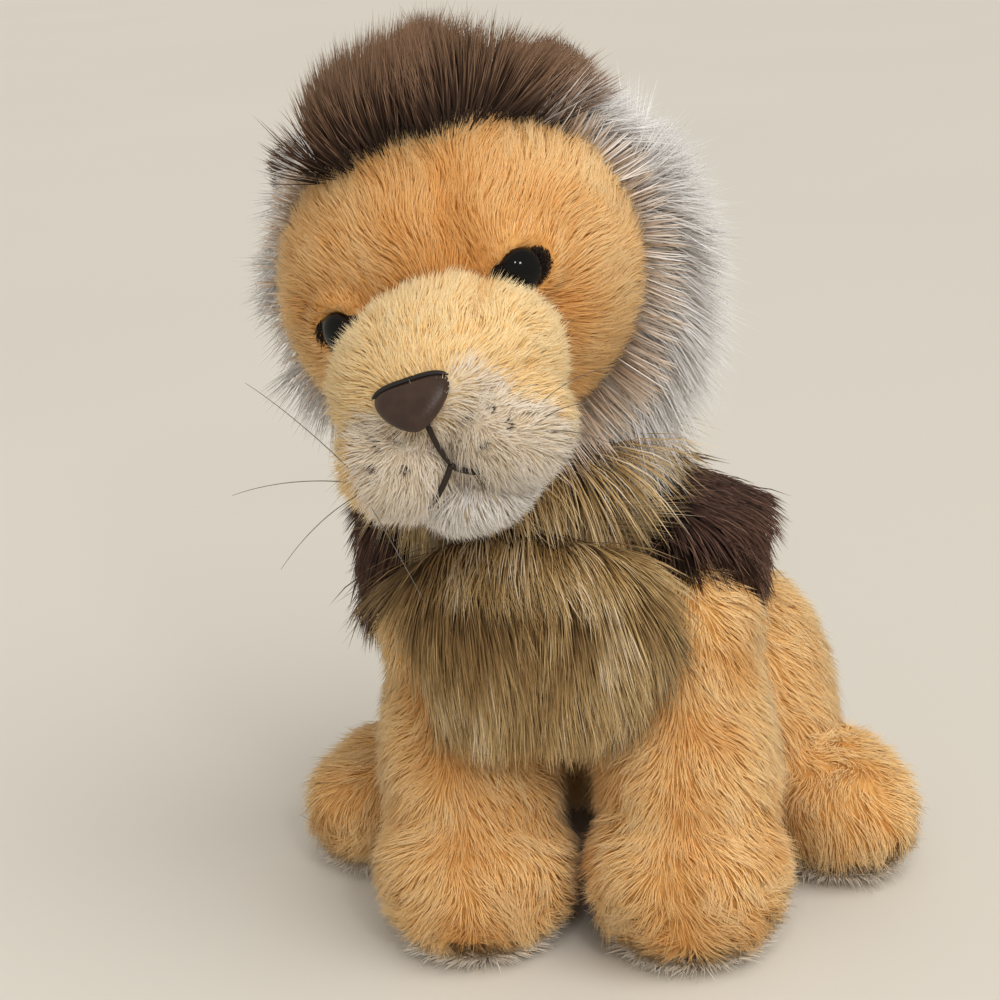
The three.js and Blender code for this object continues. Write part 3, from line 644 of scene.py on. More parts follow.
def lock_middles(points: Array, spacing: float) -> Array:
    """The nearest point of a jittered cubic lattice, which the strands of one lock share."""
    cell = np.floor(points / spacing).astype(np.int64)
    best = np.full(len(points), np.inf)
    middle = np.zeros_like(points)
    steps = np.stack(np.meshgrid(*[[-1, 0, 1]] * 3, indexing="ij"), -1).reshape(-1, 3)
    salts = np.array([[127.1, 311.7, 74.7], [269.5, 183.3, 246.1], [113.5, 271.9, 124.6]])
    for step in steps:
        corner = cell + step
        jitter = np.modf(np.abs(np.sin(corner @ salts.T) * 43758.5453))[0]
        place = (corner + jitter) * spacing
        distance = ((place - points) ** 2).sum(1)
        nearer = distance < best
        best[nearer] = distance[nearer]
        middle[nearer] = place[nearer]
    return middle


def strand_mesh(
    curve: Sequence[Array], normal: Array, pile: Pile, tone: Array, rng: np.random.Generator
) -> tuple[Array, Array, Array, Array]:
    """Turns centre lines into closed three-sided strands.

    A strand runs from a root point through one ring, or two where it is long, to its tip.
    Each ring is a small triangle square to the line.

    Args:
        curve: the root, the bend and the tip of every strand.
        normal: the way that the shading leans at every root.
        pile: the pile's sizes.
        tone: every strand's place across the bake map.
        rng: the source of chance.

    Returns:
        The vertices, the triangles, the bake map's places and the vertices' normals, which
        lean one way, as light that soaks through pile evens out its shading.
    """
    root, bend, tip = curve
    count = len(root)
    turn = rng.uniform(0, 2 * np.pi, size=count)
    half = pile.width / 2 * rng.uniform(0.75, 1.25, size=count)
    rows, facing = [root[:, None]], [normal[:, None]]
    marks = [np.stack([tone, np.zeros(count)], 1)[:, None]]
    for share, swell in LONG_RINGS if pile.long else SHORT_RINGS:
        middle = (1 - share) ** 2 * root + 2 * share * (1 - share) * bend + share**2 * tip
        tangent = unit((1 - share) * (bend - root) + share * (tip - bend))
        across = unit(np.cross(tangent, normal) + 1e-6)
        over = np.cross(tangent, across)
        for corner in range(3):
            angle = turn + corner * 2 * np.pi / 3
            offset = across * np.cos(angle)[:, None] + over * np.sin(angle)[:, None]
            rows.append((middle + offset * (half * swell)[:, None])[:, None])
            facing.append(unit(normal + RING_LEAN * offset)[:, None])
            mark = np.stack([tone + (corner - 1) * RING_TONE, np.full(count, share)], 1)
            marks.append(mark[:, None])
    rows.append(tip[:, None])
    facing.append(normal[:, None])
    marks.append(np.stack([tone, np.ones(count)], 1)[:, None])
    points = np.concatenate(rows, 1)
    corners = points.shape[1]
    ring = [1, 2, 3]
    faces = [(ring[i], 0, ring[(i + 1) % 3]) for i in range(3)]
    for low in range(1, corners - 4, 3):
        a, b = [low, low + 1, low + 2], [low + 3, low + 4, low + 5]
        for i in range(3):
            j = (i + 1) % 3
            faces += [(a[i], a[j], b[j]), (a[i], b[j], b[i])]
    top = [corners - 4, corners - 3, corners - 2]
    faces += [(top[i], top[(i + 1) % 3], corners - 1) for i in range(3)]
    numbers = np.array(faces)[None] + (np.arange(count) * corners)[:, None, None]
    places = np.concatenate(marks, 1).reshape(-1, 2)
    normals = np.concatenate(facing, 1).reshape(-1, 3)
    return points.reshape(-1, 3), numbers.reshape(-1, 3), places, normals


@dataclass
class Coat:
    """One piece of fur: which skin it grows on, its pile, the way it lies and its tones."""

    name: str
    skin: Skin
    pile: Pile
    finish: PileFinish
    lie: Field
    tone: Callable[[Array, np.random.Generator], Array]
    keep: Field = lambda points: np.ones(len(points), bool)
    reach: Field = lambda points: np.ones(len(points))
    glow: tuple[float, float, float] = (0.0, 0.0, 0.0)
    floor: float = 0.25
    seed: int = 1

    def grow(self) -> bpy.types.Object:
        """Grows every strand and makes the piece.

        The lie and the normal are mixed by the pile's two angles, the tip moves towards the
        middle of its lock, and nothing goes below the floor.

        Returns:
            The fur as one mesh.
        """
        rng = np.random.default_rng(self.seed)
        pile = self.pile
        root, normal = self.skin.scatter(pile.density, self.keep, rng)
        count = len(root)
        chance = np.clip(rng.normal(1, pile.uneven, count), 0.5, 1.35)
        length = (pile.length * self.reach(root) * chance)[:, None]
        way = unit(self.lie(root)) + pile.sway * ripple(root, pile.sway_length, rng)
        way = way + 0.5 * pile.sway * ripple(root, pile.sway_length / 3, rng)
        way = unit(way - normal * (way * normal).sum(1, keepdims=True))
        loose = rng.normal(size=(count, 3)) * pile.wander
        rise, fall = np.radians(pile.rise_deg), np.radians(pile.fall_deg)
        first = unit(normal * np.sin(rise) + way * np.cos(rise) + 0.5 * loose)
        second = normal * np.sin(fall) + way * np.cos(fall) + loose
        second[:, 2] -= pile.droop
        bend = root + first * length * ROOT_SHARE
        tip = bend + unit(second) * length * TIP_SHARE
        inward = lock_middles(root, pile.lock) - root
        inward = inward - normal * (inward * normal).sum(1, keepdims=True)
        reach = np.linalg.norm(inward, axis=1, keepdims=True)
        inward = inward * np.minimum(1.0, pile.lock / np.maximum(reach, 1e-6))
        pull = pile.pull * rng.uniform(0.6, 1.2, size=(count, 1))
        tip = tip + inward * pull
        bend = bend + inward * pull * BEND_PULL
        root = root - normal * ROOT_DEPTH
        tone = np.clip(self.tone(root, rng), 0.01, 0.99)
        shading = unit(normal + np.array(self.glow))
        points, faces, uv, facing = strand_mesh((root, bend, tip), shading, pile, tone, rng)
        points[:, 2] = np.maximum(points[:, 2], self.floor)
        made = new_piece(self.name, points, faces, uv, facing)
        made.data.materials.append(self.finish.material())
        LOG.info("%s: %d strands, %d triangles", self.name, count, len(faces))
        return made


# ---- stuffed skins


def finish_skin(
    piece: bpy.types.Object, finish: ClothFinish, body: str, fill: float, *nodes: str
) -> None:
    """Gives a stuffed skin its cloth, its body and the nodes that it stands for; the fill is not
    used.
    """
    piece.data.materials.clear()
    piece.data.materials.append(finish.material())
    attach(piece, body)
    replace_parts(piece, *nodes)
    LOG.info("%s rides on %s", piece.name, body)


def stuffed_copy(
    name: str,
    source: bpy.types.Object,
    voxel: float,
    inset: float,
    relax: int,
    swell: Field | None = None,
) -> bpy.types.Object:
    """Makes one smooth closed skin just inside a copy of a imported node.

    The copy is remeshed in small cubes, relaxed, moved inwards along its normals and relaxed
    once more, so that the fur that grows on it ends at the node's own surface.

    Args:
        name: the new piece's name.
        source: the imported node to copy.
        voxel: the cubes' size.
        inset: how far the skin lies inside the node.
        relax: how many smoothing steps it gets before it moves.
        swell: how much further out the stuffing pushes it at each point, or none.

    Returns:
        The finished skin.
    """
    shell = bmesh.new()
    shell.from_mesh(source.data)
    bmesh.ops.remove_doubles(shell, verts=shell.verts, dist=0.002 * MM)
    mesh = bpy.data.meshes.new(name + "_draft")
    shell.to_mesh(mesh)
    shell.free()
    draft = linked(name + "_draft", mesh)
    for number, (kind, settings) in enumerate(
        (
            ("REMESH", {"mode": "VOXEL", "voxel_size": voxel * MM}),
            ("SMOOTH", {"iterations": relax, "factor": 0.5}),
            ("DISPLACE", {"strength": -inset * MM, "mid_level": 0.0}),
            ("SMOOTH", {"iterations": 4, "factor": 0.5}),
        )
    ):
        modifier = draft.modifiers.new(f"step_{number}", kind)
        for key, value in settings.items():
            setattr(modifier, key, value)
    graph = bpy.context.evaluated_depsgraph_get()
    final = bpy.data.meshes.new_from_object(draft.evaluated_get(graph))
    final.name = name
    bpy.data.objects.remove(draft)
    bpy.data.meshes.remove(mesh)
    final.polygons.foreach_set("use_smooth", np.ones(len(final.polygons), bool))
    if swell is not None:
        place, normal = np.empty((2, len(final.vertices) * 3), np.float32)
        final.vertices.foreach_get("co", place)
        final.vertices.foreach_get("normal", normal)
        place, normal = place.reshape(-1, 3), normal.reshape(-1, 3)
        place += normal * (swell(place / MM) * MM)[:, None]
        final.vertices.foreach_set("co", place.ravel())
        final.update()
    return linked(name, final)


@dataclass(frozen=True)
class HeadFrame:
    """The head's own axes: where its middle is and how it is turned."""

    middle: tuple[float, float, float] = (-25.5, -88.0, 207.0)
    pitch_deg: float = 1.0
    roll_deg: float = -17.0

    def turn(self) -> Array:
        """The rotation from the head's axes to the toy's: roll about Y, then pitch about X."""
        return about_x(np.radians(self.pitch_deg)) @ about_y(np.radians(self.roll_deg))

    def place(self, points: Array) -> Array:
        """Moves points from the head's axes into the toy's."""
        return points @ self.turn().T + np.array(self.middle)

    def local(self, points: Array) -> Array:
        """Moves points from the toy's axes into the head's."""
        return (points - np.array(self.middle)) @ self.turn()

    def direct(self, vectors: Array) -> Array:
        """Turns directions from the head's axes into the toy's."""
        return vectors @ self.turn().T


def noisy(middle: float, spread: float) -> Callable[[Array, np.random.Generator], Array]:
    """A tone that only chance varies from strand to strand."""
    return lambda points, rng: rng.normal(middle, spread, len(points))


@dataclass
class Head:
    """The golden face with its muzzle, pads, chin, nose, mouth, eyes and ears."""

    frame: HeadFrame = field(default_factory=HeadFrame)
    half: tuple[float, float, float] = (54.0, 47.0, 50.0)
    inset: float = 4.5
    muzzle_middle: tuple[float, float, float] = (0.0, -48.0, -17.0)
    muzzle_half: tuple[float, float, float] = (33.0, 33.0, 26.0)
    pad_middle: tuple[float, float, float] = (14.0, -65.0, -32.0)
    pad_half: tuple[float, float, float] = (19.5, 17.0, 17.5)
    pad_inset: float = 3.0
    chin_middle: tuple[float, float, float] = (0.0, -60.0, -47.0)
    chin_half: tuple[float, float, float] = (17.0, 17.0, 11.0)
    cream_left: tuple[float, ...] = (-17, -14, -11.5, -11, -15, -21.5, -25, -28, -34, -60)
    cream_right: tuple[float, ...] = (-17, -16, -15.5, -17, -20, -32, -60)
    eye_spacing: float = 27.7
    eye_rise: float = 1.5
    eye_radius: float = 5.8
    eye_dome: float = 0.62
    eye_recess: float = 1.4
    eye_stem: tuple = (
        (0.05, -15.0), (1.35, -15.0), (1.7, -13.0), (1.35, -12.5), (1.7, -8.0), (1.35, -7.5),
        (1.7, -3.0), (1.35, -2.4), (1.35, -0.7),
    )
    nose_place: tuple[float, float, float] = (-1.2, -79.6, -13.4)
    nose_width: float = 20.8
    nose_height: float = 15.0
    nose_thickness: float = 5.0
    nose_tilt_deg: float = -38.0
    nose_top_share: float = 0.24
    nose_low_share: float = 0.68
    fold_across: float = 16.5
    dots: tuple = ((9.4, -24.4), (15.2, -24.2), (18.4, -28.6), (11.0, -31.0))
    dot_radius: float = 1.2
    mouth_fork: tuple[float, float, float] = (1.0, -78.3, -34.2)
    ear_tilt_deg: float = 45.0
    ear_reach: float = 54.0
    ear_back: float = 22.0
    ear_half: tuple[float, float, float] = (9.5, 3.8, 10.5)

    def eye_at(self, side: Side) -> tuple[Array, Array]:
        """The middle of an eye's flat back and the way it looks, in the head's axes."""
        half = np.array(self.half)
        across, up = self.eye_spacing / half[0], self.eye_rise / half[2]
        ahead = half[1] * np.sqrt(1 - across**2 - up**2)
        centre = np.array([side.value * self.eye_spacing, -ahead, self.eye_rise])
        out = unit(centre / half**2)
        return centre - out * self.eye_recess, out

    def pad_at(self, side: Side) -> Array:
        """The middle of a muzzle pad, in the head's axes."""
        return np.array(self.pad_middle) * (side.value, 1, 1)

    def off_head(self, local: Array) -> Array:
        """True for points of the head's axes outside its skin."""
        return ~inside_ball(local, (0, 0, 0), self.half, -self.inset)

    def shell(
        self, centre: Sequence[float], half: Sequence[float], inset: float, rows: int
    ) -> Array:
        """Rows of an inset ellipsoid in the head's axes."""
        return ball_rows(centre, np.array(half) - inset, rows, rows * 3 // 2)

    def skin(self, name: str, rows: Array, finish: ClothFinish, fill: float, *nodes: str) -> Skin:
        """Places one of the head's skins, dresses it and returns it for the fur."""
        points, faces = closed_grid(self.frame.place(rows))
        piece = new_piece(name, points, faces)
        finish_skin(piece, finish, "head", fill, *nodes)
        return Skin.of(piece)

    def sculpt(self, rows: Array) -> Array:
        """Shapes the face: a hollow, a rim and a brow at each eye, and the forehead's groove."""
        out = unit(rows / np.array(self.half) ** 2)
        change = np.zeros(rows.shape[:2])
        for side in Side:
            eye, _ = self.eye_at(side)
            gap = rows - eye
            across, ahead, up = np.moveaxis(gap, -1, 0)
            hollow = np.exp(-((across / 10) ** 2 + (ahead / 14) ** 2 + (up / 8) ** 2))
            change -= 1.6 * hollow
            rim = np.linalg.norm(gap * (1, 0.7, 1.1), axis=-1)
            change += 4.0 * np.exp(-(((rim - 7.6) / 2.5) ** 2))
            brow = rows - (eye + np.array([side.value * 1.0, 4.0, 14.0]))
            change += 1.8 * np.exp(-(brow**2).sum(-1) / 11**2)
        groove = np.exp(-(((rows[..., 0] - 13) / 4.5) ** 2) - ((rows[..., 2] - 16) / 14) ** 2)
        change -= 2.0 * groove * (rows[..., 1] < 0)
        return rows + out * change[..., None]

    def face_edge(self, angle: Array) -> Array:
        """How far ahead the golden cloth ends, by the angle from straight up round the face."""
        turns = [-180, -140, -100, -70, -50, -38, -20, 0, 20, 43, 64, 90, 120, 150, 180]
        ahead = [-14, -4, -1, -2, -4, -9, -21, -21, -19, -7, 1, 3, 2, -4, -14]
        return np.interp(np.degrees(angle), turns, ahead)

    def angle(self, local: Array) -> Array:
        """The angle from straight up round the face."""
        return np.arctan2(local[:, 0], local[:, 2])

    def on_face(self, points: Array) -> Array:
        """True where golden face fur grows."""
        local = self.frame.local(points)
        keep = local[:, 1] < self.face_edge(self.angle(local)) + 1.0
        keep &= ~inside_ball(local, self.muzzle_middle, self.muzzle_half, -2.5)
        for side in Side:
            keep &= self.lid_gap(local, side) > self.eye_radius + 0.6
        return keep

    def face_lie(self, points: Array) -> Array:
        """Away from the bridge of the nose, and away from each eye close to it."""
        local = self.frame.local(points)
        way = unit(np.stack([local[:, 0], np.full(len(local), 6.0), local[:, 2] + 14.0], 1))
        for side in Side:
            eye, _ = self.eye_at(side)
            apart = local - eye
            near = np.exp(-(np.linalg.norm(apart, axis=1) / 11) ** 2)[:, None]
            way = way + 1.4 * near * unit(apart)
        return self.frame.direct(way)

    def face_tone(self, points: Array, rng: np.random.Generator) -> Array:
        """Golden and paler aside, with painted shade: deeper by the muzzle and in the groove, and
        brown under the crest.
        """
        local = self.frame.local(points)
        tone = rng.normal(0.22, 0.08, len(points))
        tone = tone + 0.06 * ripple(points, 20, np.random.default_rng(3))[:, 0]
        tone += 0.16 * smooth_step(np.abs(local[:, 0]), 24, 44)
        # painted shade in the forehead's groove
        tone -= 0.3 * np.exp(-(((local[:, 0] - 13) / 6) ** 2) - ((local[:, 2] - 14) / 16) ** 2)
        # painted shade round the muzzle's edge
        tone -= 0.14 * inside_ball(local, self.muzzle_middle, self.muzzle_half, 3.0)
        for side in Side:
            near = 1 - smooth_step(self.lid_gap(local, side), 8.0, 13.0)
            tone += 0.12 * near * (local[:, 2] < self.eye_rise)
        # painted brown shade under the crest, along the face's top edge
        edge = self.face_edge(self.angle(local)) - local[:, 1]
        high = smooth_step(local[:, 2], 5, 25)
        tone += 0.5 * (1 - smooth_step(edge, 0, 5)) * high * rng.uniform(0.2, 1, len(points))
        return tone

    def lid_gap(self, local: Array, side: Side) -> Array:
        """A stretched distance from an eye: shorter towards its two corners."""
        eye, _ = self.eye_at(side)
        apart = (local - eye) * (side.value, 1, 1)
        slant = apart[:, 0] * 0.98 + apart[:, 2] * 0.17
        rise = apart[:, 2] * 0.98 - apart[:, 0] * 0.17
        slant = np.where(slant < 0, slant * 0.66, slant * 0.8)
        rise = np.where(rise > 0, rise * 1.3, rise)
        return np.sqrt(slant**2 + rise**2 + (apart[:, 1] * 0.5) ** 2)

    def face_reach(self, points: Array) -> Array:
        """Shorter pile close to the eyes."""
        local = self.frame.local(points)
        share = np.ones(len(points))
        for side in Side:
            eye, _ = self.eye_at(side)
            share *= 0.4 + 0.6 * smooth_step(np.linalg.norm(local - eye, axis=1), 6, 17)
        return share

    def build(self) -> None:
        """Makes every piece of the face."""
        rows = self.sculpt(self.shell((0, 0, 0), self.half, self.inset, 60))
        skin = self.skin("head_skin", rows, GOLDEN_CLOTH, 0.9, "head")
        pile = Pile(2.2, 8.5, 0.26, 45, 16, lock=3.0, pull=0.3, wander=0.14, uneven=0.12, sway=0.2)
        fur = Coat(
            "face_fur", skin, pile, GOLDEN_PILE, self.face_lie, self.face_tone, self.on_face,
            self.face_reach, seed=11,
        ).grow()
        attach(fur, "head")
        for side in Side:
            self.build_lid(skin, side)
        self.build_muzzle()
        self.build_pads()
        self.build_chin()
        self.build_nose()
        self.build_mouth()
        for side in Side:
            self.build_eye(side)
            self.build_ear(side)

    def build_lid(self, skin: Skin, side: Side) -> None:
        """The short black pile round an eye."""
        eye, _ = self.eye_at(side)

        def keep(points: Array) -> Array:
            local = self.frame.local(points)
            clear = ~inside_ball(local, self.muzzle_middle, self.muzzle_half, -2.5)
            clear &= np.linalg.norm(local - eye, axis=1) > self.eye_radius - 0.9
            return clear & (self.lid_gap(local, side) < self.eye_radius + 1.1) & (local[:, 1] < 0)

        pile = Pile(11.0, 4.4, 0.24, 62, 16, lock=1.6, pull=0.2, wander=0.2, uneven=0.2, sway=0.2)
        fur = Coat(
            f"lid_fur_{side.word}", skin, pile, LID_PILE,
            lambda points: self.frame.direct(eye - self.frame.local(points)), noisy(0.4, 0.25),
            keep, seed=27 + side.value,
        ).grow()
        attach(fur, "head")

    def nose_clear(self, local: Array, margin: float) -> Array:
        """True for points of the head's axes that the nose doesn't cover."""
        flat = self.nose_flat(local)
        angle = np.arctan2(flat[:, 1], flat[:, 0])
        reach = np.linalg.norm(self.nose_outline(angle), axis=1) + margin
        reach = reach + np.where(flat[:, 1] > 0.6, 3.6, 0.0)
        covered = np.linalg.norm(flat[:, :2], axis=1) < reach
        return ~(covered & (np.abs(flat[:, 2]) < 9))

    def nose_turn(self) -> Array:
        """The rotation from the nose's own plane to the head's axes, about X."""
        return about_x(np.pi / 2 + np.radians(self.nose_tilt_deg))

    def nose_flat(self, local: Array) -> Array:
        """Points of the head's axes in the nose's own plane: across, up and out."""
        return (local - np.array(self.nose_place)) @ self.nose_turn()

    def cream_share(self, local: Array, golden: Array, rng: np.random.Generator) -> Array:
        """The muzzle's tones: golden on top and at the sides, cream in front of a slanting line.

        Args:
            local: root points in the head's axes.
            golden: the tone of each where it is golden.
            rng: the source of chance.

        Returns:
            The tone of each strand.
        """
        left = np.interp(local[:, 0], [0, 6, 9.5, 13, 16, 19, 23, 27, 29, 30], self.cream_left)
        right = np.interp(-local[:, 0], [0, 11, 14, 19, 22, 24, 25], self.cream_right)
        line = np.where(local[:, 0] > 0, left, right)
        cream = smooth_step(line - local[:, 2] + rng.normal(0, 0.7, len(local)), -1.0, 1.5)
        cream *= smooth_step(-local[:, 1], 56, 62)
        cool = 0.52 + 0.2 * smooth_step(-local[:, 2], 34, 50) + rng.normal(0, 0.05, len(local))
        return golden * (1 - cream) + cool * cream

    def build_muzzle(self) -> None:
        """The golden cap over the top of the muzzle."""
        rows = self.shell(self.muzzle_middle, self.muzzle_half, 3.0, 44)
        out = unit((rows - np.array(self.muzzle_middle)) / np.array(self.muzzle_half) ** 2)
        crease = np.exp(-(((rows[..., 0] - self.fold_across) / 2.8) ** 2))
        crease = crease * smooth_step(rows[..., 2], -9.0, 0.0)
        crease = crease * smooth_step(rows[..., 1], -76.0, -64.0)
        rows = rows - out * (2.2 * crease)[..., None]
        skin = self.skin("muzzle_skin", rows, CAP_CLOTH, 0.95, "muzzle")

        def keep(points: Array) -> Array:
            local = self.frame.local(points)
            clear = self.off_head(local)
            for side in Side:
                clear &= ~inside_ball(local, self.pad_at(side), self.pad_half, -4.0)
            return clear & self.nose_clear(local, -5.0) & (local[:, 2] > -42)

        def lie(points: Array) -> Array:
            local = self.frame.local(points)
            away = local - np.array([0.0, -84.0, -14.0])
            return self.frame.direct(away + np.array([0.0, 8.0, 5.0]))

        def tone(points: Array, rng: np.random.Generator) -> Array:
            local = self.frame.local(points)
            value = rng.normal(0.19, 0.045, len(points))
            # painted shade in the crease beside the bridge and at its front end
            crease_shade = np.exp(-(((local[:, 0] - self.fold_across) / 2.5) ** 2))
            crease_shade = crease_shade * smooth_step(local[:, 2], -9, 0)
            value -= 0.2 * crease_shade * smooth_step(local[:, 1], -76, -66)
            crease_end_shade = local - np.array([self.fold_across, -72.3, -6.0])
            value -= 0.12 * np.exp(-((crease_end_shade / 3.0) ** 2).sum(1))
            value -= 0.05 * smooth_step(-local[:, 2], 22, 38)
            dotted = self.dot_gap(local) < self.dot_radius
            return np.where(dotted, DARKEST, self.cream_share(local, value, rng))

        pile = Pile(
            2.6, 6.5, 0.26, 50, 22, lock=2.2, pull=0.22, wander=0.18, sway=0.3, sway_length=14,
        )
        fur = Coat(
            "muzzle_fur", skin, pile, MUZZLE_PILE, lie, tone, keep, self.dot_reach, seed=12,
        ).grow()
        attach(fur, "head")

    def dot_gap(self, local: Array) -> Array:
        """How far each point of the head's axes is, seen from the front, from a whisker dot."""
        seen = np.stack([np.abs(local[:, 0]), local[:, 2]], 1)
        gap = np.linalg.norm(seen[:, None] - np.array(self.dots)[None], axis=2).min(1)
        return np.where(local[:, 1] < -62, gap, 99.0)

    def dot_reach(self, points: Array) -> Array:
        """Shorter pile round the whisker dots."""
        gap = self.dot_gap(self.frame.local(points))
        return 0.4 + 0.6 * smooth_step(gap, self.dot_radius, 3.6)

    def build_pads(self) -> None:
        """The two cream pads that carry the whiskers."""
        for side in Side:
            rows = self.shell(self.pad_at(side), self.pad_half, self.pad_inset, 36)
            node = f"muzzle_pad_{side.word}"
            skin = self.skin(f"muzzle_pad_skin_{side.word}", rows, CREAM_CLOTH, 0.95, node)

            def keep(points: Array, side: Side = side) -> Array:
                local = self.frame.local(points)
                clear = self.off_head(local)
                clear &= ~inside_ball(local, self.muzzle_middle, self.muzzle_half, -4.5)
                clear &= local[:, 0] * side.value > 0.2
                return clear & self.nose_clear(local, -6.0)

            def lie(points: Array) -> Array:
                local = self.frame.local(points)
                away = (local - np.array([0.0, 0.0, -21.0])) * (1, 0, 1)
                return self.frame.direct(unit(away) + np.array([side.value * 0.25, 0.45, -0.2]))

            def tone(points: Array, rng: np.random.Generator) -> Array:
                local = self.frame.local(points)
                value = self.cream_share(local, rng.normal(0.16, 0.04, len(points)), rng)
                dark = (self.dot_gap(local) < self.dot_radius) | self.mouth_near(local, rng)
                return np.where(dark, DARKEST, value)

            pile = Pile(
                3.2, 6.0, 0.25, 50, 24, lock=2.0, pull=0.22, wander=0.18, sway=0.3, sway_length=10,
            )
            fur = Coat(
                f"muzzle_pad_fur_{side.word}", skin, pile, MUZZLE_PILE, lie, tone, keep,
                self.dot_reach, seed=13 + side.value,
            ).grow()
            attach(fur, "head")

    def build_chin(self) -> None:
        """The cream chin under the mouth: greyish, partly its own colour and partly painted shade,
        and darker at the bottom by painted shade.
        """
        rows = self.shell(self.chin_middle, self.chin_half, 2.0, 30)
        skin = self.skin("chin_skin", rows, CREAM_CLOTH, 0.9, "chin")

        def keep(points: Array) -> Array:
            local = self.frame.local(points)
            clear = self.off_head(local)
            for side in Side:
                clear &= ~inside_ball(local, self.pad_at(side), self.pad_half, -2.4)
            return clear

        def lie(points: Array) -> Array:
            local = self.frame.local(points)
            away = (local - np.array([0.0, 0.0, -32.0])) * (1, 0, 1)
            return self.frame.direct(unit(away) + np.array([0.0, 0.6, 0.0]))

        def tone(points: Array, rng: np.random.Generator) -> Array:
            local = self.frame.local(points)
            # greyish cream, partly its own and partly painted shade; the bottom leans towards the
            # black row as painted shade
            value = rng.normal(0.74, 0.04, len(points)) + 0.07 * smooth_step(-local[:, 2], 48, 56)
            return np.where(self.mouth_near(local, rng), DARKEST, value)

        pile = Pile(2.6, 5.5, 0.28, 45, 20, lock=2.2, pull=0.3, wander=0.14)
        fur = Coat("chin_fur", skin, pile, MUZZLE_PILE, lie, tone, keep, seed=16).grow()
        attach(fur, "head")

    def build_nose(self) -> None:
        """The leatherette nose, a cushioned triangle, and the black piping on its upper edge.

        Rows shrink towards the middle while the height rises as the root of one minus the
        fourth power of the share.
        """
        around = 72
        outline = self.nose_outline(np.linspace(0, 2 * np.pi, around, endpoint=False))
        share = np.cos(np.linspace(0, np.pi / 2, 12)[:-1])
        rows = []
        for sign, steps in ((-1.0, share[::-1]), (1.0, share)):
            for step in steps:
                height = sign * np.sqrt(max(1 - step**4, 0.0)) * self.nose_thickness / 2
                rows.append(np.concatenate([outline * step, np.full((around, 1), height)], 1))
        local = np.array(rows) @ self.nose_turn().T + np.array(self.nose_place)
        points, faces = closed_grid(self.frame.place(local))
        nose = new_piece("nose_leather", points, faces)
        nose.data.materials.append(LeatheretteFinish().material())
        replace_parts(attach(nose, "head"), "nose")
        run = np.linspace(-1, 1, 40)
        edge = np.stack(
            [
                run * self.nose_width * 0.52,
                self.nose_height * self.nose_top_share - 1.6 * run**4 + 0.1,
                np.full(len(run), 1.7) - 1.2 * run**4,
            ],
            1,
        )
        path = self.frame.place(edge @ self.nose_turn().T + np.array(self.nose_place))
        piping = tube("nose_piping", path, 0.75 * np.sqrt(np.maximum(1 - run**8, 0.02)))
        piping.data.materials.append(PIPING.material())
        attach(piping, "head")

    def nose_outline(self, angle: Array) -> Array:
        """Points of the nose's outline, by angle from its middle.

        The radius is one over the q-th root of |cos/w|^q + |sin/h|^q: above the middle a flat
        edge (q of 4 and a small h), below it between a triangle and half an ellipse (q of 1.5).
        """
        across, up = np.abs(np.cos(angle)), np.sin(angle)
        power = np.where(up > 0, 4.0, 1.5)
        high = self.nose_height * np.where(up > 0, self.nose_top_share, self.nose_low_share)
        total = (across / (self.nose_width / 2)) ** power + (np.abs(up) / high) ** power
        return np.stack([np.cos(angle), up], 1) * (total ** (-1 / power))[:, None]

    def mouth_lines(self) -> list[Array]:
        """The mouth's three lines, each by three points of a quadratic curve."""
        fork = self.mouth_fork
        return [
            np.array([[-0.6, -78.8, -21.0], [-0.4, -79.9, -28.0], fork]),
            np.array([fork, [4.0, -79.0, -37.2], [8.5, -75.8, -39.6]]),
            np.array([fork, [-3.5, -79.4, -40.0], [-10.5, -74.6, -44.5]]),
        ]

    def mouth_near(self, local: Array, rng: np.random.Generator) -> Array:
        """True for points of the head's axes so close to the mouth that their pile is dark."""
        share = np.linspace(0, 0.9, 12)
        route = np.concatenate([quadratic(line, share) for line in self.mouth_lines()])
        apart = (local[:, None] - route[None]) * (1, 0.4, 1)
        return np.linalg.norm(apart, axis=2).min(1) + rng.normal(0, 0.3, len(local)) < 1.0

    def build_mouth(self) -> None:
        """The stitched thread: down from the nose and out to both sides under the pads."""
        share = np.linspace(0, 1, 16)
        parts, count, faces = [], 0, []
        for line in self.mouth_lines():
            path = self.frame.place(quadratic(line, share))
            radii = 0.8 * np.sqrt(np.maximum(1 - share**6, 0.04))
            points, triangles = closed_grid(tube_rows(path, radii, 10))
            parts.append(points)
            faces.append(triangles + count)
            count += len(points)
        thread = new_piece("mouth_thread", np.concatenate(parts), np.concatenate(faces))
        thread.data.materials.append(THREAD.material())
        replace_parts(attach(thread, "head"), "mouth_stitch")

    def build_eye(self, side: Side) -> None:
        """One eye: a turned profile of stem, flat back and dome about the way that it looks."""
        centre, out = self.eye_at(side)
        radius, high = self.eye_radius, self.eye_radius * self.eye_dome
        back = [*self.eye_stem, (radius - 0.6, -0.7), (radius, -0.2)]
        rise = np.linspace(0, np.pi / 2, 22)[:-1]
        dome = np.stack([radius * np.cos(rise), high * np.sin(rise)], 1)
        profile = np.concatenate([np.array(back), dome])
        around = 56
        across = unit(np.cross(out, [0.0, 0.0, 1.0]))
        ring = circle(across, np.cross(out, across), around)
        rows = centre + profile[:, 0, None, None] * ring[None] + profile[:, 1, None, None] * out
        points, faces = closed_grid(self.frame.place(rows))
        depth = np.repeat(np.clip(1 - profile[:, 1] / high, 0, 1), around)
        uv = np.stack([np.tile(np.linspace(0.02, 0.98, around), len(profile)), depth], 1)
        uv = np.concatenate([uv, [[0.5, 1.0], [0.5, 0.0]]])
        eye = new_piece(f"eye_dome_{side.word}", points, faces, uv)
        eye.data.materials.append(EyeFinish().material())
        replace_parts(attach(eye, "head"), f"eye_{side.word}")

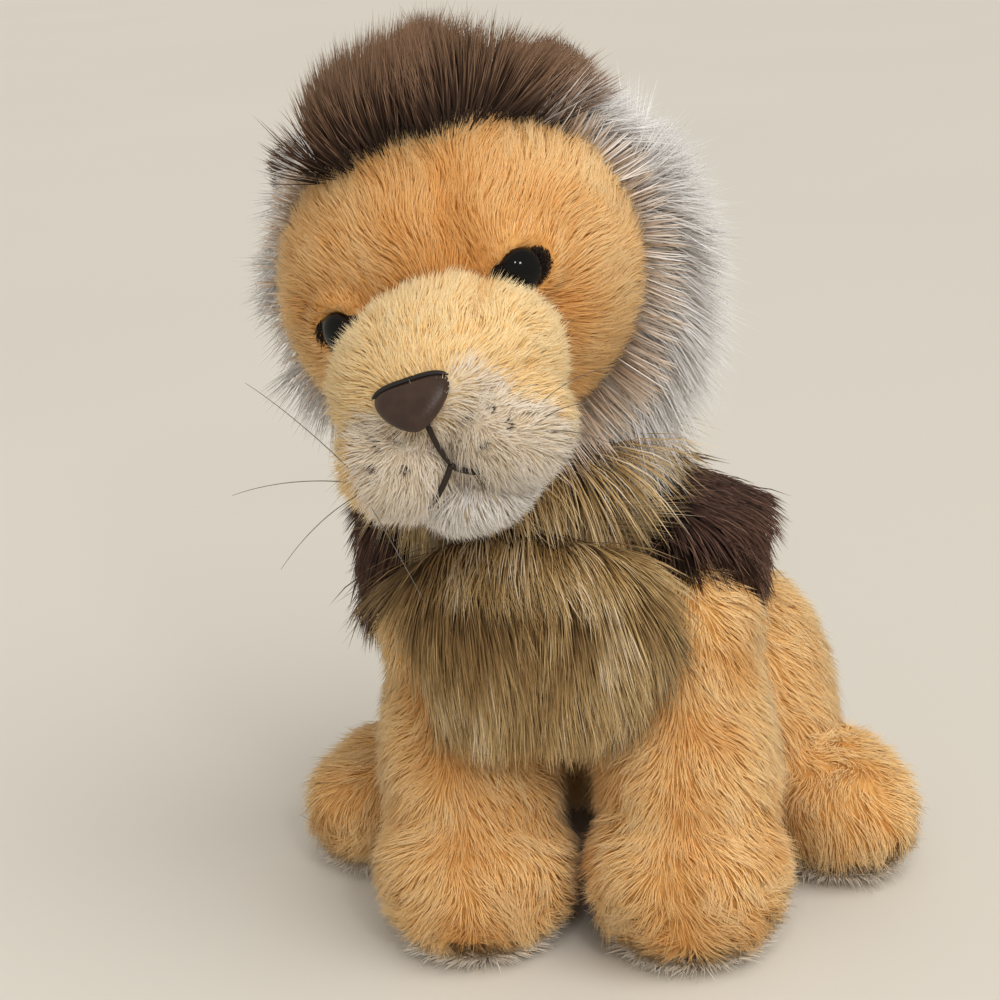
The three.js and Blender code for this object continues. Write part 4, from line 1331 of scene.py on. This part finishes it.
    def build_ear(self, side: Side) -> None:
        """A small round ear that stands in the mane, hollow in front."""
        tilt, reach = np.radians(self.ear_tilt_deg), self.ear_reach
        centre = np.array([side.value * reach * np.sin(tilt), self.ear_back, reach * np.cos(tilt)])
        rows = ball_rows((0, 0, 0), self.ear_half, 24, 36)
        dish = np.exp(-((rows[..., 0] / 6) ** 2 + (rows[..., 2] / 7) ** 2)) * (rows[..., 1] < 0)
        rows = rows + np.stack([0 * dish, 3.6 * dish, 0 * dish], -1)
        rows = rows @ about_y(side.value * tilt).T + centre
        skin = self.skin(f"ear_skin_{side.word}", rows, DARK_CLOTH, 0.4, f"ear_{side.word}")
        outward = self.frame.direct(centre * (1, 0, 1))

        def tone(points: Array, rng: np.random.Generator) -> Array:
            inside = (self.frame.local(points) - centre)[:, 1] < -1
            return rng.normal(0.25, 0.12, len(points)) + 0.25 * inside

        pile = Pile(2.2, 5.5, 0.45, 45, 20, lock=2.5, pull=0.4)
        fur = Coat(
            f"ear_fur_{side.word}", skin, pile, CREST_PILE,
            lambda points: np.tile(outward, (len(points), 1)), tone, seed=18 + side.value,
        ).grow()
        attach(fur, "head")


@dataclass
class Mane:
    """The mane on the head: a backing round it, the crest, two ruffs and the nape."""

    head: Head
    rise: float = 1.0
    thickness: float = 1.6
    crest_from: float = -31.0
    crest_to: float = 53.0
    crest_back: float = 17.0
    dark_to: float = 50.0
    dark_back: float = 24.0

    def backing(self) -> Skin:
        """A thin cap behind the face: from its edge over the head to the back, and in again.

        A row's share runs from the edge to the back pole; the half sizes are the head skin's
        plus the rise outside and minus a little inside.
        """
        angle = np.linspace(-np.pi, np.pi, 96, endpoint=False)
        half = np.array(self.head.half) - self.head.inset
        start = np.arcsin(np.clip(self.head.face_edge(angle) / half[1], -1, 1))
        share = np.linspace(0, 1, 34)[:-1]
        rows = []
        for rise, steps in ((self.rise, share[::-1]), (self.rise - self.thickness, share)):
            grown = half + rise
            for step in steps:
                latitude = start + (np.pi / 2 - start) * step
                across = grown[0] * np.cos(latitude) * np.sin(angle)
                up = grown[2] * np.cos(latitude) * np.cos(angle)
                rows.append(np.stack([across, grown[1] * np.sin(latitude), up], 1))
        points, faces = closed_grid(self.head.frame.place(np.array(rows)))
        piece = new_piece("mane_backing", points, faces)
        finish_skin(piece, RUFF_CLOTH, "head", 0.5, "nape_mane")
        piece.data.materials.append(DARK_CLOTH.material())
        angle, behind, _ = self.zone(points[faces].mean(1))
        dark = (behind > self.dark_back) | self.under_crest(angle)
        piece.data.polygons.foreach_set("material_index", dark.astype(np.int32))
        return Skin.of(piece)

    def under_crest(self, angle: Array) -> Array:
        """True for angles round the face where the backing is dark."""
        return (angle > self.crest_from) & (angle < self.dark_to)

    def zone(self, points: Array) -> tuple[Array, Array, Array]:
        """The angle in degrees round the face, how far back, and the outer side's mask."""
        local = self.head.frame.local(points)
        half = np.array(self.head.half) - self.head.inset + self.rise / 2
        outer = ((local / half) ** 2).sum(1) > 1.0
        return np.degrees(self.head.angle(local)), local[:, 1], outer

    def outward(self, points: Array, back: float, down: float) -> Array:
        """Straight out round the face, with a share backwards and a share down the head."""
        local = self.head.frame.local(points)
        flat = unit(local * (1, 0, 1))
        way = flat + np.array([0.0, back, -down])
        return self.head.frame.direct(way)

    def build(self) -> None:
        """Makes the backing and every part of the head's mane."""
        skin = self.backing()
        self.build_crest(skin)
        for side in Side:
            self.build_ruff(skin, side)
        self.build_nape(skin)

    def build_crest(self, skin: Skin) -> None:
        """Upright dark pile with pale tips across the top of the head."""

        def keep(points: Array) -> Array:
            angle, behind, outer = self.zone(points)
            inside = (angle > self.crest_from) & (angle < self.crest_to)
            return outer & inside & (behind < self.crest_back)

        def reach(points: Array) -> Array:
            angle, behind, _ = self.zone(points)
            share = np.interp(angle, [-31, -22, 0, 25, 53], [0.9, 1.0, 1.05, 1.0, 0.85])
            return share * np.interp(behind, [-22, -16, 17], [0.85, 1.0, 0.95])

        def tone(points: Array, rng: np.random.Generator) -> Array:
            angle, behind, _ = self.zone(points)
            value = rng.normal(0.22, 0.14, len(points))
            mixed = smooth_step(angle, 34, 56) * rng.uniform(0.3, 1.0, len(points))
            return np.clip(value, 0, 0.5) + 0.6 * mixed

        def lie(points: Array) -> Array:
            aside = smooth_step(self.zone(points)[0], 8, 38)[:, None]
            return self.outward(points, 0.0, 0.3) * aside + np.array([0.0, 0.05, 1.0]) * (1 - aside)

        pile = Pile(
            3.0, 27.0, 0.36, 64, 52, lock=4.2, pull=0.5, wander=0.08, uneven=0.09, sway=0.1,
            sway_length=26, long=True,
        )
        fur = Coat("crest_fur", skin, pile, CREST_PILE, lie, tone, keep, reach, seed=21).grow()
        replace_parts(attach(fur, "head"), "crest")

    def build_ruff(self, skin: Skin, side: Side) -> None:
        """Pale fine pile at the side of the face, brown along the face's edge, partly the ruff's
        own brown base and partly painted shade where the face meets it.
        """

        def keep(points: Array) -> Array:
            angle, behind, outer = self.zone(points)
            turn = angle * side.value
            first = 47 if side is Side.LEFT else 30
            return outer & (turn > first) & (turn < 172) & (behind < 26)

        def behind_edge(local: Array) -> Array:
            return local[:, 1] - self.head.face_edge(self.head.angle(local))

        def reach(points: Array) -> Array:
            turn = self.zone(points)[0] * side.value
            short = 0.48 + 0.52 * smooth_step(behind_edge(self.head.frame.local(points)), 1.5, 8.5)
            if side is Side.LEFT:
                return short * np.interp(turn, [47, 60, 110, 150], [0.85, 0.98, 1.35, 1.75])
            return short * np.interp(turn, [30, 60, 110, 140, 160], [0.85, 0.85, 1.0, 1.3, 1.4])

        def lie(points: Array) -> Array:
            local = self.head.frame.local(points)
            down = smooth_step(-local[:, 2], -10, 50)[:, None]
            way = unit(local * (1, 0, 1)) + np.array([0.0, 0.3, 0.0])
            way = way + down * np.array([0.0, 0.1, -0.75])
            return self.head.frame.direct(way)

        def tone(points: Array, rng: np.random.Generator) -> Array:
            local = self.head.frame.local(points)
            value = rng.normal(0.84, 0.08, len(points))
            value += 0.14 * smooth_step(-local[:, 2], -10, 30)
            # brown at the face's edge: partly the ruff's own colour and partly painted shade
            edge = behind_edge(local) + rng.normal(0, 0.8, len(points))
            return value * smooth_step(edge, -0.8, 4.2)

        dense = 2.7 if side is Side.LEFT else 2.1
        pile = Pile(
            dense, 28.0, 0.4, 46, 28, lock=3.4, pull=0.16, wander=0.1, uneven=0.08, sway=0.06,
            sway_length=26, long=True,
        )
        fur = Coat(
            f"ruff_fur_{side.word}", skin, pile, RUFF_PILE, lie, tone, keep, reach,
            (0.3 + 0.4 * side.value, -0.7, 0.6), seed=22 + side.value,
        ).grow()
        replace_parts(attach(fur, "head"), f"ruff_{side.word}")

    def build_nape(self, skin: Skin) -> None:
        """Dark pile that falls over the back of the head."""

        def keep(points: Array) -> Array:
            angle, behind, outer = self.zone(points)
            return outer & (behind > np.where(self.under_crest(angle), 15, self.dark_back))

        pile = Pile(
            0.72, 28.0, 0.62, 42, 20, lock=6.0, pull=0.7, wander=0.12, uneven=0.15, sway=0.25,
            sway_length=28, droop=0.15, long=True,
        )
        fur = Coat(
            "nape_fur", skin, pile, CREST_PILE,
            lambda points: self.head.frame.direct(np.tile([0.0, 0.25, -1.0], (len(points), 1))),
            noisy(0.2, 0.14), keep, seed=25,
        ).grow()
        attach(fur, "head")


@dataclass
class Whiskers:
    """Fine filaments that stand out of the pads, three on the left and four on the right."""

    head: Head
    length: float = 36.0
    radius: float = 0.1
    sag_share: float = 0.05
    roots: tuple = (
        (Side.RIGHT, (0.72, 0.62, 0.3), (0.4, -0.2, 0.87)),
        (Side.RIGHT, (0.8, 0.58, 0.05), (0.85, -0.1, 0.2)),
        (Side.RIGHT, (0.76, 0.6, -0.2), (0.72, -0.15, -0.32)),
        (Side.RIGHT, (0.62, 0.72, -0.35), (-0.2, -0.25, -0.8)),
        (Side.LEFT, (0.78, 0.6, 0.3), (0.62, -0.1, 0.12)),
        (Side.LEFT, (0.8, 0.6, 0.08), (0.55, -0.12, -0.04)),
        (Side.LEFT, (0.76, 0.64, -0.15), (0.5, -0.15, -0.25)),
    )

    def build(self) -> None:
        """Makes each whisker, a tapering tube on a quadratic curve."""
        seen = {side: 0 for side in Side}
        for side, root, tip in self.roots:
            seen[side] += 1
            mirror = (side.value, 1, 1)
            start = unit(np.array(root)) * np.array(self.head.pad_half) * (1, -1, 1) * 0.9
            start = start * mirror + self.head.pad_at(side)
            end = start + np.array(tip) * mirror * self.length
            middle = (start + end) / 2 + np.array([0.0, 0.0, 2 * self.length * self.sag_share])
            share = np.linspace(0, 1, 26)
            path = self.head.frame.place(quadratic((start, middle, end), share))
            radii = self.radius * (1 - share) ** 0.6 + 0.05
            name = f"{side.word}_{seen[side]}"
            piece = tube(f"whisker_filament_{name}", path, radii, 6)
            piece.data.materials.append(FILAMENT.material())
            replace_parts(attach(piece, "head"), f"whisker_{name}")


@dataclass
class Trunk:
    """The body with its chest bib, shoulder manes and back mane, and the neck's two pieces."""

    nodes: dict[str, bpy.types.Object]
    voxel: float = 2.6
    neck: tuple[float, float, float] = (-16.0, -66.0, 154.0)
    collar_radius: float = 34.6
    leg_radius: float = 24.0
    thigh_middle: tuple[float, float, float] = (38.0, -20.0, 48.0)
    thigh_half: tuple[float, float, float] = (35.0, 40.0, 46.0)

    def legs_clear(self, points: Array, margin: float) -> Array:
        """True for points outside the spaces of the four legs."""
        clear = np.ones(len(points), bool)
        for side in Side:
            room = np.where(np.abs(points[:, 0]) < 41, margin - 7.0, margin)[:, None]
            thigh = np.array(self.thigh_middle) * (side.value, 1, 1)
            clear &= ~inside_ball(points, thigh, self.thigh_half, room)
            top = np.array([-3 + side.value * 35.0, -80.0, 97.0])
            paw = np.array([side.value * 32.5, -108.0, 20.0])
            along = paw - top
            share = np.clip(((points - top) @ along) / (along @ along), 0, 1)
            gap = np.linalg.norm(points - top - share[:, None] * along, axis=1)
            clear &= gap > self.leg_radius + margin
        return clear

    def copy(
        self, name: str, node: str, inset: float, relax: int = 6, swell: Field | None = None
    ) -> bpy.types.Object:
        """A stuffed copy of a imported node."""
        return stuffed_copy(name, self.nodes[node], self.voxel, inset, relax, swell)

    def build(self) -> None:
        """Makes the trunk's pieces from the seat up to the collar."""
        self.build_torso()
        self.build_chest()
        for side in Side:
            self.build_shoulder(side)
        self.build_back()
        self.build_neck()

    def build_torso(self) -> None:
        """The golden body, filled out to the thighs' insides."""

        def swell(points: Array) -> Array:
            (_, back, up), (_, half_depth, half_height) = self.thigh_middle, self.thigh_half
            disc = ((points[:, 1] - back) / half_depth) ** 2
            disc = disc + ((points[:, 2] - up) / half_height) ** 2
            near = smooth_step(np.abs(points[:, 0]), 29, 33)
            return 4.3 * near * (1 - smooth_step(disc, 1.0, 1.3))

        piece = self.copy("torso_skin", "torso", 4.5, swell=swell)
        finish_skin(piece, GOLDEN_CLOTH, "body", 0.85, "torso")

        def lie(points: Array) -> Array:
            away = (points - np.array([-6.0, -30.0, 0.0])) * (1, 1, 0)
            return unit(away) * 0.3 + np.array([0.0, 0.25, -1.0])

        def keep(points: Array) -> Array:
            high = np.linalg.norm(points - np.array(self.neck), axis=1) > self.collar_radius + 2
            bib = (points[:, 1] < -55) & (points[:, 2] > 100)
            return self.legs_clear(points, -3.0) & high & ~bib & (points[:, 2] > 0.8)

        def tone(points: Array, rng: np.random.Generator) -> Array:
            value = rng.normal(0.42, 0.09, len(points))
            # paler high on the flanks, partly paler fur and partly painted light
            side = smooth_step(np.abs(points[:, 0] + 6), 30, 46) * smooth_step(points[:, 2], 60, 95)
            return np.minimum(value + 0.14 * side, 0.5)

        pile = Pile(0.52, 12.0, 0.56, 40, 13, lock=4.5, pull=0.45, wander=0.14)
        fur = Coat("body_fur", Skin.of(piece), pile, GOLDEN_PILE, lie, tone, keep, seed=31).grow()
        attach(fur, "body")

    def build_chest(self) -> None:
        """The tan bib: long pile that hangs down between the forelegs, with a painted shadow under
        the collar's ledge.
        """
        piece = self.copy("chest_skin", "chest_mane", 5.0)
        finish_skin(piece, TAN_CLOTH, "body", 0.5, "chest_mane")

        def lie(points: Array) -> Array:
            fan = (points[:, 0] + 8) / 40 * smooth_step(points[:, 2], 75, 125)
            flow = 0.25 * smooth_step(points[:, 2], 90, 125)
            level = np.ones(len(points))
            return np.stack([0.2 * fan + flow, -0.4 * level, -1.0 * level], 1)

        def keep(points: Array) -> Array:
            middle = np.interp(points[:, 2], [82, 125], [-3, -6])
            half = np.interp(points[:, 2], [82, 92, 104, 114, 126], [12, 30, 34, 36, 36])
            inside = np.abs(points[:, 0] - middle) < half
            return (points[:, 1] < -100) & inside & (points[:, 2] > 82)

        def tone(points: Array, rng: np.random.Generator) -> Array:
            patch = ripple(points, 30, np.random.default_rng(5))[:, 0]
            streak = ripple(points, 9, np.random.default_rng(6))[:, 1]
            # painted shadow under the collar's ledge, fainter towards +x
            ledge_shadow_fade = smooth_step(points[:, 0], 0, 22)
            ledge_shadow = smooth_step(points[:, 2], 108, 118) * (1 - smooth_step(points[:, 2], 126, 131))
            value = rng.normal(0.39, 0.18, len(points)) + 0.14 * patch + 0.16 * streak
            return value - 0.3 * ledge_shadow * (1 - 0.7 * ledge_shadow_fade)

        pile = Pile(
            1.85, 25.0, 0.34, 22, 6, lock=4.5, pull=0.45, wander=0.08, uneven=0.18, sway=0.12,
            sway_length=26, droop=0.4, long=True,
        )
        fur = Coat(
            "chest_fur", Skin.of(piece), pile, TAN_PILE, lie, tone, keep,
            lambda points: np.interp(points[:, 2], [82, 100], [0.55, 1.0]), seed=32,
        ).grow()
        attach(fur, "body")

    def build_shoulder(self, side: Side) -> None:
        """Dark pile that falls over one shoulder."""
        name = f"shoulder_mane_{side.word}"
        piece = self.copy(f"shoulder_skin_{side.word}", name, 4.0)
        finish_skin(piece, DARK_CLOTH, "body", 0.5, name)

        def lie(points: Array) -> Array:
            high = smooth_step(points[:, 2], 122, 141)
            outer = smooth_step(np.abs(points[:, 0]), 40, 54)
            aside = side.value * (0.2 + 0.2 * high) * (1 - outer)
            down = 0.9 * high * (1 - outer) - 1.0
            return np.stack([aside, np.full(len(points), -0.1), down], 1)

        def reach(points: Array) -> Array:
            low = np.interp(points[:, 2], [84, 104], [0.55, 1.0])
            return low * (1 + 0.3 * smooth_step(-points[:, 1], 66, 82))

        def keep(points: Array) -> Array:
            across, lowest = (24, 84) if side is Side.LEFT else (40, 102)
            return (points[:, 0] * side.value > across) & (points[:, 2] > lowest)

        pile = Pile(
            1.35, 16.0, 0.4, 20, 4, lock=4.0, pull=0.4, wander=0.1, uneven=0.14, sway=0.1,
            sway_length=22, droop=0.55, long=True,
        )
        fur = Coat(
            f"shoulder_fur_{side.word}", Skin.of(piece), pile, DARK_PILE, lie, noisy(0.36, 0.24),
            keep, reach, seed=33 + side.value,
        ).grow()
        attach(fur, "body")

    def build_back(self) -> None:
        """Dark pile over the upper back."""
        piece = self.copy("back_mane_skin", "back_mane", 4.0)
        finish_skin(piece, DARK_CLOTH, "body", 0.5, "back_mane")
        pile = Pile(
            0.7, 22.0, 0.6, 26, 6, lock=5.5, pull=0.7, wander=0.12, uneven=0.16, sway=0.28,
            sway_length=24, droop=0.4, long=True,
        )
        fur = Coat(
            "back_mane_fur", Skin.of(piece), pile, DARK_PILE,
            lambda points: np.tile([0.0, 0.35, -1.0], (len(points), 1)), noisy(0.36, 0.2),
            lambda points: points[:, 1] > -48, seed=36,
        ).grow()
        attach(fur, "body")

    def build_neck(self) -> None:
        """The soft neck and the tan tier of mane on the collar round it."""
        piece = self.copy("neck_skin", "neck", 0.6, 2)
        finish_skin(piece, TAN_CLOTH, "neck", 0.8, "neck")
        collar = self.copy("collar_skin", "collar_mane", 0.8, 2)
        finish_skin(collar, TAN_CLOTH, "collar", 0.5, "collar_mane")
        pivot = np.array(self.neck)

        def keep(points: Array) -> Array:
            apart = points - pivot
            reach = np.linalg.norm(apart, axis=1)
            return (reach > self.collar_radius - 3) & (apart[:, 2] > -28)

        def lie(points: Array) -> Array:
            away = unit((points - pivot) * (1, 1, 0))
            return away * 0.35 + np.array([0.3, -0.15, -1.0])

        def tone(points: Array, rng: np.random.Generator) -> Array:
            value = rng.normal(0.58, 0.18, len(points)) - 0.55 * smooth_step(points[:, 1], -60, -40)
            return value - 0.6 * smooth_step(points[:, 0], 13, 20)

        def reach(points: Array) -> Array:
            return 1 - 0.35 * smooth_step(points[:, 0], 13, 20)

        pile = Pile(
            1.45, 30.0, 0.37, 36, 18, lock=4.5, pull=0.55, wander=0.1, uneven=0.14, sway=0.25,
            sway_length=20, droop=0.4, long=True,
        )
        fur = Coat(
            "collar_fur", Skin.of(collar), pile, TAN_PILE, lie, tone, keep, reach, seed=38,
        ).grow()
        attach(fur, "collar")


@dataclass
class Leg:
    """One leg with its paw and sole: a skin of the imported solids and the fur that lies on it."""

    nodes: dict[str, bpy.types.Object]
    side: Side
    fore: bool
    voxel: float = 2.4

    @property
    def kind(self) -> str:
        """The leg's name without its side."""
        return "foreleg" if self.fore else "hindleg"

    @property
    def body(self) -> str:
        """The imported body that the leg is."""
        return f"{self.kind}_{self.side.word}"

    @property
    def paw(self) -> Array:
        """The middle of the paw's top."""
        middle = np.array([32.5, -108.0, 30.0] if self.fore else [72.0, -44.0, 26.0])
        return middle * (self.side.value, 1, 1)

    def seam(self, points: Array) -> Array:
        """How far a point lies to the side of the leg's front seam."""
        if not self.fore:
            return np.full(len(points), 99.0)
        middle = np.interp(points[:, 2], [20, 100], [32.5, 34.0]) * self.side.value
        return points[:, 0] - middle

    def lie(self, points: Array) -> Array:
        """Down the leg, parted at the seam, and out over the paw from its top."""
        apart = points - self.paw
        over_paw = smooth_step(-apart[:, 2], -22, 4)[:, None]
        fan = unit(apart * (1, 1, 0)) + np.array([0.0, 0.0, -0.5])
        if self.fore:
            split = np.tanh(self.seam(points) / 9)[:, None] * np.array([0.45, 0.0, 0.0])
            down = split + np.array([0.0, -0.12, -1.0])
        else:
            down = unit(apart * (1, 1, 0)) * -0.35 + np.array([self.side.value * 0.25, -0.1, -1.0])
            inner = 1 - smooth_step(points[:, 0] * self.side.value, 42, 48)
            down = down - inner[:, None] * np.array([self.side.value * 0.9, 0.0, 0.0])
        return down * (1 - over_paw) + fan * over_paw

    def tone(self, points: Array, rng: np.random.Generator) -> Array:
        """Golden in soft patches, paler on the hind legs by painted light, deeper along the seam,
        paler outside and at the bottom.
        """
        patch = ripple(points, 22, np.random.default_rng(7 + self.side.value))[:, 1]
        # the hind legs' higher tone is painted light
        value = rng.normal(0.38 if self.fore else 0.52, 0.08, len(points)) + 0.1 * patch
        value -= 0.16 * np.exp(-((self.seam(points) / 5) ** 2)) * (points[:, 1] < -100)
        outer = smooth_step(points[:, 0] * self.side.value, 44, 58)
        outer = outer * smooth_step(points[:, 2], 40, 70)
        value += 0.16 * outer * self.fore
        return np.minimum(value + 0.2 * (1 - smooth_step(points[:, 2], 5, 12)), 0.5)

    def swell(self, points: Array) -> Array:
        """Stuffing that fills the ankle, the hind leg's dent and the thigh's flat inside."""
        if self.fore:
            return 3.2 * np.exp(-(((points[:, 2] - 54) / 20) ** 2))
        dent = np.array([self.side.value * 66.0, -38.0, 40.0])
        flat = 1 - smooth_step(points[:, 0] * self.side.value, 42, 48)
        return 5.0 * np.exp(-(((points - dent) / 19) ** 2).sum(1)) + 2.8 * flat

    def build(self) -> None:
        """Makes the leg's skin and fur, and its sole."""
        piece = stuffed_copy(
            f"{self.body}_skin", self.nodes[self.body], self.voxel, 3.0, 14, self.swell
        )
        finish_skin(piece, GOLDEN_CLOTH, self.body, 0.85, self.body)

        def keep(points: Array) -> Array:
            if self.fore:
                clear = points[:, 1] < np.interp(points[:, 2], [70, 110], [-40, -84])
            else:
                clear = points[:, 0] * self.side.value > 40.6
            return clear & (points[:, 2] > 4.2)

        dense = 1.42 if self.fore else 1.05
        pile = Pile(
            dense, 9.0, 0.29, 42, 14, lock=3.4, pull=0.34, wander=0.15, uneven=0.13, sway=0.26,
        )
        fur = Coat(
            f"{self.body}_fur", Skin.of(piece), pile, GOLDEN_PILE, self.lie, self.tone, keep,
            lambda points: np.interp(points[:, 2], [4, 14], [0.6, 1.0]),
            seed=41 + self.side.value + 4 * self.fore,
        ).grow()
        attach(fur, self.body)
        self.build_sole()

    def build_sole(self) -> None:
        """The cream sole under the paw."""
        node = f"{'fore' if self.fore else 'hind'}paw_sole_{self.side.word}"
        piece = stuffed_copy(f"{node}_skin", self.nodes[node], 1.2, 0.3, 2)
        finish_skin(piece, CREAM_CLOTH, self.body, 0.7, node)

        def lie(points: Array) -> Array:
            return unit((points - self.paw) * (1, 1, 0)) + np.array([0.0, 0.0, 0.1])

        pile = Pile(0.95, 6.5, 0.4, 40, 18, lock=3.0, pull=0.3)
        fur = Coat(
            f"{node}_fur", Skin.of(piece), pile, CREAM_PILE, lie, noisy(0.45, 0.1),
            lambda points: (points[:, 2] > 0.8) & (points[:, 2] < 6.5), glow=(0.0, -0.7, 0.7),
            seed=51 + self.side.value + 4 * self.fore,
        ).grow()
        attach(fur, self.body)


@dataclass
class Tail:
    """The tail and its dark tuft, lying round the toy's right."""

    nodes: dict[str, bpy.types.Object]
    route: tuple = ((0, 42, 32), (-4, 62, 20), (-26, 75, 8), (-53, 70, 8), (-66, 50, 8))

    def along(self, points: Array) -> Array:
        """The way of the route's nearest stretch."""
        route = np.array(self.route, float)
        middles, ways = (route[1:] + route[:-1]) / 2, unit(route[1:] - route[:-1])
        nearest = np.linalg.norm(points[:, None] - middles[None], axis=2).argmin(1)
        return ways[nearest]

    def build(self) -> None:
        """Makes the tail's skin and fur and the tuft's."""
        piece = stuffed_copy("tail_skin", self.nodes["tail"], 1.6, 2.6, 4)
        finish_skin(piece, GOLDEN_CLOTH, "tail", 0.8, "tail")
        pile = Pile(1.7, 8.0, 0.5, 40, 14, lock=3.5, pull=0.5)
        fur = Coat(
            "tail_fur", Skin.of(piece), pile, GOLDEN_PILE, self.along, noisy(0.3, 0.09),
            lambda points: points[:, 1] > 36, seed=61,
        ).grow()
        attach(fur, "tail")
        tuft = stuffed_copy("tuft_skin", self.nodes["tail_tuft"], 1.6, 4.5, 3)
        finish_skin(tuft, DARK_CLOTH, "tail", 0.5, "tail_tuft")
        pile = Pile(
            2.4, 15.0, 0.55, 36, 14, lock=4.0, pull=0.6, wander=0.14, uneven=0.18, sway=0.2,
            sway_length=16, long=True,
        )
        fur = Coat(
            "tuft_fur", Skin.of(tuft), pile, DARK_PILE, self.along, noisy(0.4, 0.18), seed=62,
        ).grow()
        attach(fur, "tail")


@dataclass(frozen=True)
class Studio:
    """The camera, the plain pale floor and soft lamps."""

    eye: tuple[float, float, float] = (107.94, -670.15, 330.04)
    ahead: tuple[float, float, float] = (-0.20344, 0.92984, -0.30662)
    roll_deg: float = 4.5
    sensor: float = 36.0
    focal_share: float = 2.112
    floor_colour: str = "#DAD4C8"

    def build(self) -> None:
        """Makes the camera, the floor, the lamps and the world."""
        camera = linked("camera", bpy.data.cameras.new("camera"))
        camera.data.lens = self.focal_share * self.sensor
        camera.data.sensor_width = self.sensor
        camera.data.clip_start = 0.01
        forward = Vector(self.ahead).normalized()
        right = forward.cross(Vector((0, 0, 1))).normalized()
        up = right.cross(forward)
        roll = np.radians(self.roll_deg)
        across = right * np.cos(roll) - up * np.sin(roll)
        over = right * np.sin(roll) + up * np.cos(roll)
        turn = Matrix((across, over, -forward)).transposed().to_4x4()
        camera.matrix_world = Matrix.Translation(Vector(self.eye) * MM) @ turn
        bpy.context.scene.camera = camera
        self.build_floor()
        self.build_sun((0.55, -0.5, 1.0), 1.7, 50.0)
        self.build_light("glint_near", (330, -760, 620), 0.9, 90)
        self.build_light("glint_far", (60, -820, 700), 0.7, 80)
        self.build_world()

    def build_floor(self) -> None:
        """A wide level floor of one pale colour, faintly mottled."""
        half = 6000.0
        points = np.array([[-half, -half, 0], [half, -half, 0], [half, half, 0], [-half, half, 0]])
        floor = new_piece("studio_floor", points, np.array([[0, 1, 2, 3]]))
        made, tree = fresh_material("studio_floor")
        noise = texture(tree, "ShaderNodeTexNoise", 2.0, Detail=1.0).outputs["Fac"]
        colour = ramp_of(tree, noise, [(0.3, "#D8D2C6"), (0.7, self.floor_colour)])
        close_material(tree, {"Base Color": colour, "Roughness": 0.85, "Specular IOR Level": 0.2})
        floor.data.materials.append(made)

    def build_sun(
        self, toward: tuple[float, float, float], strength: float, angle_deg: float
    ) -> None:
        """Adds the main light: a wide soft source, far away in one direction."""
        lamp = bpy.data.lights.new("sky_window", "SUN")
        lamp.energy = strength
        lamp.angle = float(np.radians(angle_deg))
        made = linked("sky_window", lamp)
        made.rotation_euler = (-Vector(toward)).to_track_quat("-Z", "Y").to_euler()
        made.visible_glossy = False

    def build_light(
        self, name: str, place: tuple[float, float, float], power: float, size: float
    ) -> None:
        """Adds a square lamp that looks at the toy's chest."""
        lamp = bpy.data.lights.new(name, "AREA")
        lamp.energy = power
        lamp.size = size * MM
        made = linked(name, lamp)
        aim = Vector((-10, -60, 140)) - Vector(place)
        made.location = Vector(place) * MM
        made.rotation_euler = aim.to_track_quat("-Z", "Y").to_euler()

    def build_world(self) -> None:
        """A pale even world, shown to the camera and in reflections as the floor's own colour."""
        world = bpy.data.worlds.new("studio_world")
        world.use_nodes = True
        tree = world.node_tree
        tree.nodes.clear()
        path = add_node(tree, "ShaderNodeLightPath").outputs
        light, shown = (
            add_node(tree, "ShaderNodeBackground", {"Color": linear(code), "Strength": strength})
            for code, strength in (("#FBF8F3", 0.56), (self.floor_colour, 1.0))
        )
        seen = path["Is Camera Ray"]
        for kind in ("Is Glossy Ray", "Is Transmission Ray"):
            either = {0: seen, 1: path[kind]}
            seen = add_node(tree, "ShaderNodeMath", either, operation="MAXIMUM").outputs[0]
        mix = {0: seen, 1: light.outputs[0], 2: shown.outputs[0]}
        mixed = add_node(tree, "ShaderNodeMixShader", mix)
        add_node(tree, "ShaderNodeOutputWorld", {"Surface": mixed.outputs[0]})
        bpy.context.scene.world = world


def main() -> None:
    """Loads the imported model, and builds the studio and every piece."""
    logging.basicConfig(level=logging.INFO, format="%(name)s: %(message)s")
    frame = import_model()
    nodes = frame["nodes"]
    Studio().build()
    head = Head()
    head.build()
    Mane(head).build()
    Whiskers(head).build()
    Trunk(nodes).build()
    for fore in (True, False):
        for side in Side:
            Leg(nodes, side, fore).build()
    Tail(nodes).build()
    for side in Side:
        washer = nodes[f"eye_washer_{side.word}"]
        washer.data.materials.clear()
        washer.data.materials.append(WASHER.material())
    view = bpy.context.scene.view_settings
    view.view_transform = "Standard"


if __name__ == "__main__":
    main()
